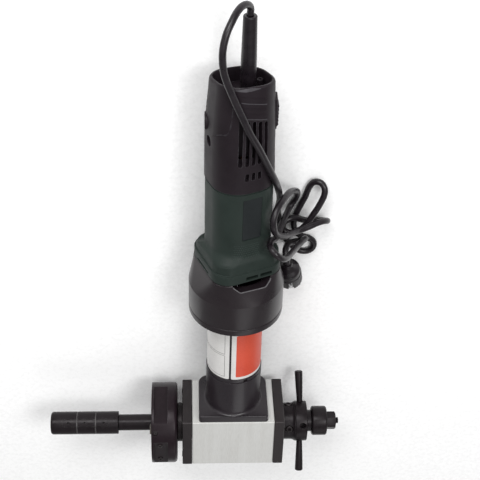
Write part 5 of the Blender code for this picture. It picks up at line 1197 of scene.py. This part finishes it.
# Dark sheets inside the cap behind the vents: painted shade that keeps the vents dark and hides the
# motor's insides.
for name, middle_turn in (("front", VENT_TURN), ("rear", VENT_TURN + 180)):
    reach = (middle_turn - SHADE_SHEET_REACH, middle_turn + SHADE_SHEET_REACH)
    added(patch("vent_shade_sheet_" + name, 0.0268, 0.0274, *reach, 0.4664, 0.5056, PLAIN_PLASTIC),
          "machine")
    added(patch("low_vent_shade_sheet_" + name, 0.0300, 0.0306, *reach, 0.4280, 0.4546, PLAIN_PLASTIC),
          "machine")
# A lighter band along the cap's front rim, tapered at its ends: a painted highlight of light on the
# rim's chamfer.
rim_band = [(degrees, 0.5299 + CAP_RIM_SLOPE * 0.0325 * math.sin(math.radians(-degrees)))
            for degrees in range(-105, -54, 4)]
added(strip("cap_rim_highlight_band", along(find, rim_band, 2), 0.0032, -0.0004, 0.0002, CAP_RIM_HIGHLIGHT, 9),
      "machine")
# The two panel lines take the painted rim highlight: their lighter colour stands for light catching
# their raised edges. The ridges stay plain.
for name, heights, looks in (("cap_ridges", (0.5284, 0.5168, 0.5110), PLAIN_PLASTIC),
                             ("cap_panel_lines", (0.5224, 0.5054), CAP_RIM_HIGHLIGHT)):
    routes = [[(-93, height), (-45, height - 0.0070)] for height in heights]
    lines = [strip("line", along(find, route, 24), 0.0009, -0.0003, 0.0003, looks)
             for route in routes]
    added(joined(name, lines), "machine")
plinth = prism("switch_plinth", slot_outline(-0.0075, 0.0075, 0.4745, 0.5125, 0.0035, 6),
               0.0310, 0.0360, BLACK_PLASTIC, around_y(0))
tools = [box("switch_slot", (-0.0029, 0.4863, 0.026), (0.0029, 0.4974, 0.040), around_y(0))]
added(bevelled(cut(plinth, tools), 0.0006), "machine")
place = around_y(math.pi, 0.4815)
brush_cap = turned("brush_cap", [(0.0335, 0.0095), (0.0372, 0.0095, 0.0010), (0.0372, 0.0010)],
                   BLACK_PLASTIC, place, steps=48)
tools = [box("coin_slot", (-0.0060, -0.0006, 0.0362), (0.0060, 0.0006, 0.0380), place)]
added(cut(brush_cap, tools), "machine")
BOSS = COLUMN @ Matrix.Translation((0.0190, 0.0150, 0))
added(turned("cap_boss", [(0.5105, 0.0017), (0.5105, 0.0033), (0.5215, 0.0033, 0.0006),
                          (0.5215, 0.0017, 0.0004)], BLACK_PLASTIC, BOSS, True, steps=40),
      "machine")

ridge = [(0.4780, 0.0361), (0.5040, 0.0361), (0.5040, 0.0370, 0.0005)]
for index in range(SWITCH_RIDGES):
    low = 0.5020 - index * SWITCH_RIDGE_PITCH
    ridge += [(low, 0.0378, 0.0004), (low - 0.0012, 0.0378, 0.0004), (low - 0.0021, 0.0369, 0.0003)]
ridge += [(0.4780, 0.0370, 0.0005)]
outline = rounded(ridge, True, 3)
button = prism("slide_switch_fine", [(z, y) for y, z in outline], -0.0055, 0.0055, BLACK_PLASTIC,
               around_y(0) @ SWAP_XZ)
stem = box("stem", (-0.0025, 0.4867, 0.026), (0.0025, 0.4910, 0.0365), around_y(0))
stands_for(cut(button, [stem], "UNION"), "slide_switch")


# ---- end

lows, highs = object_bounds()
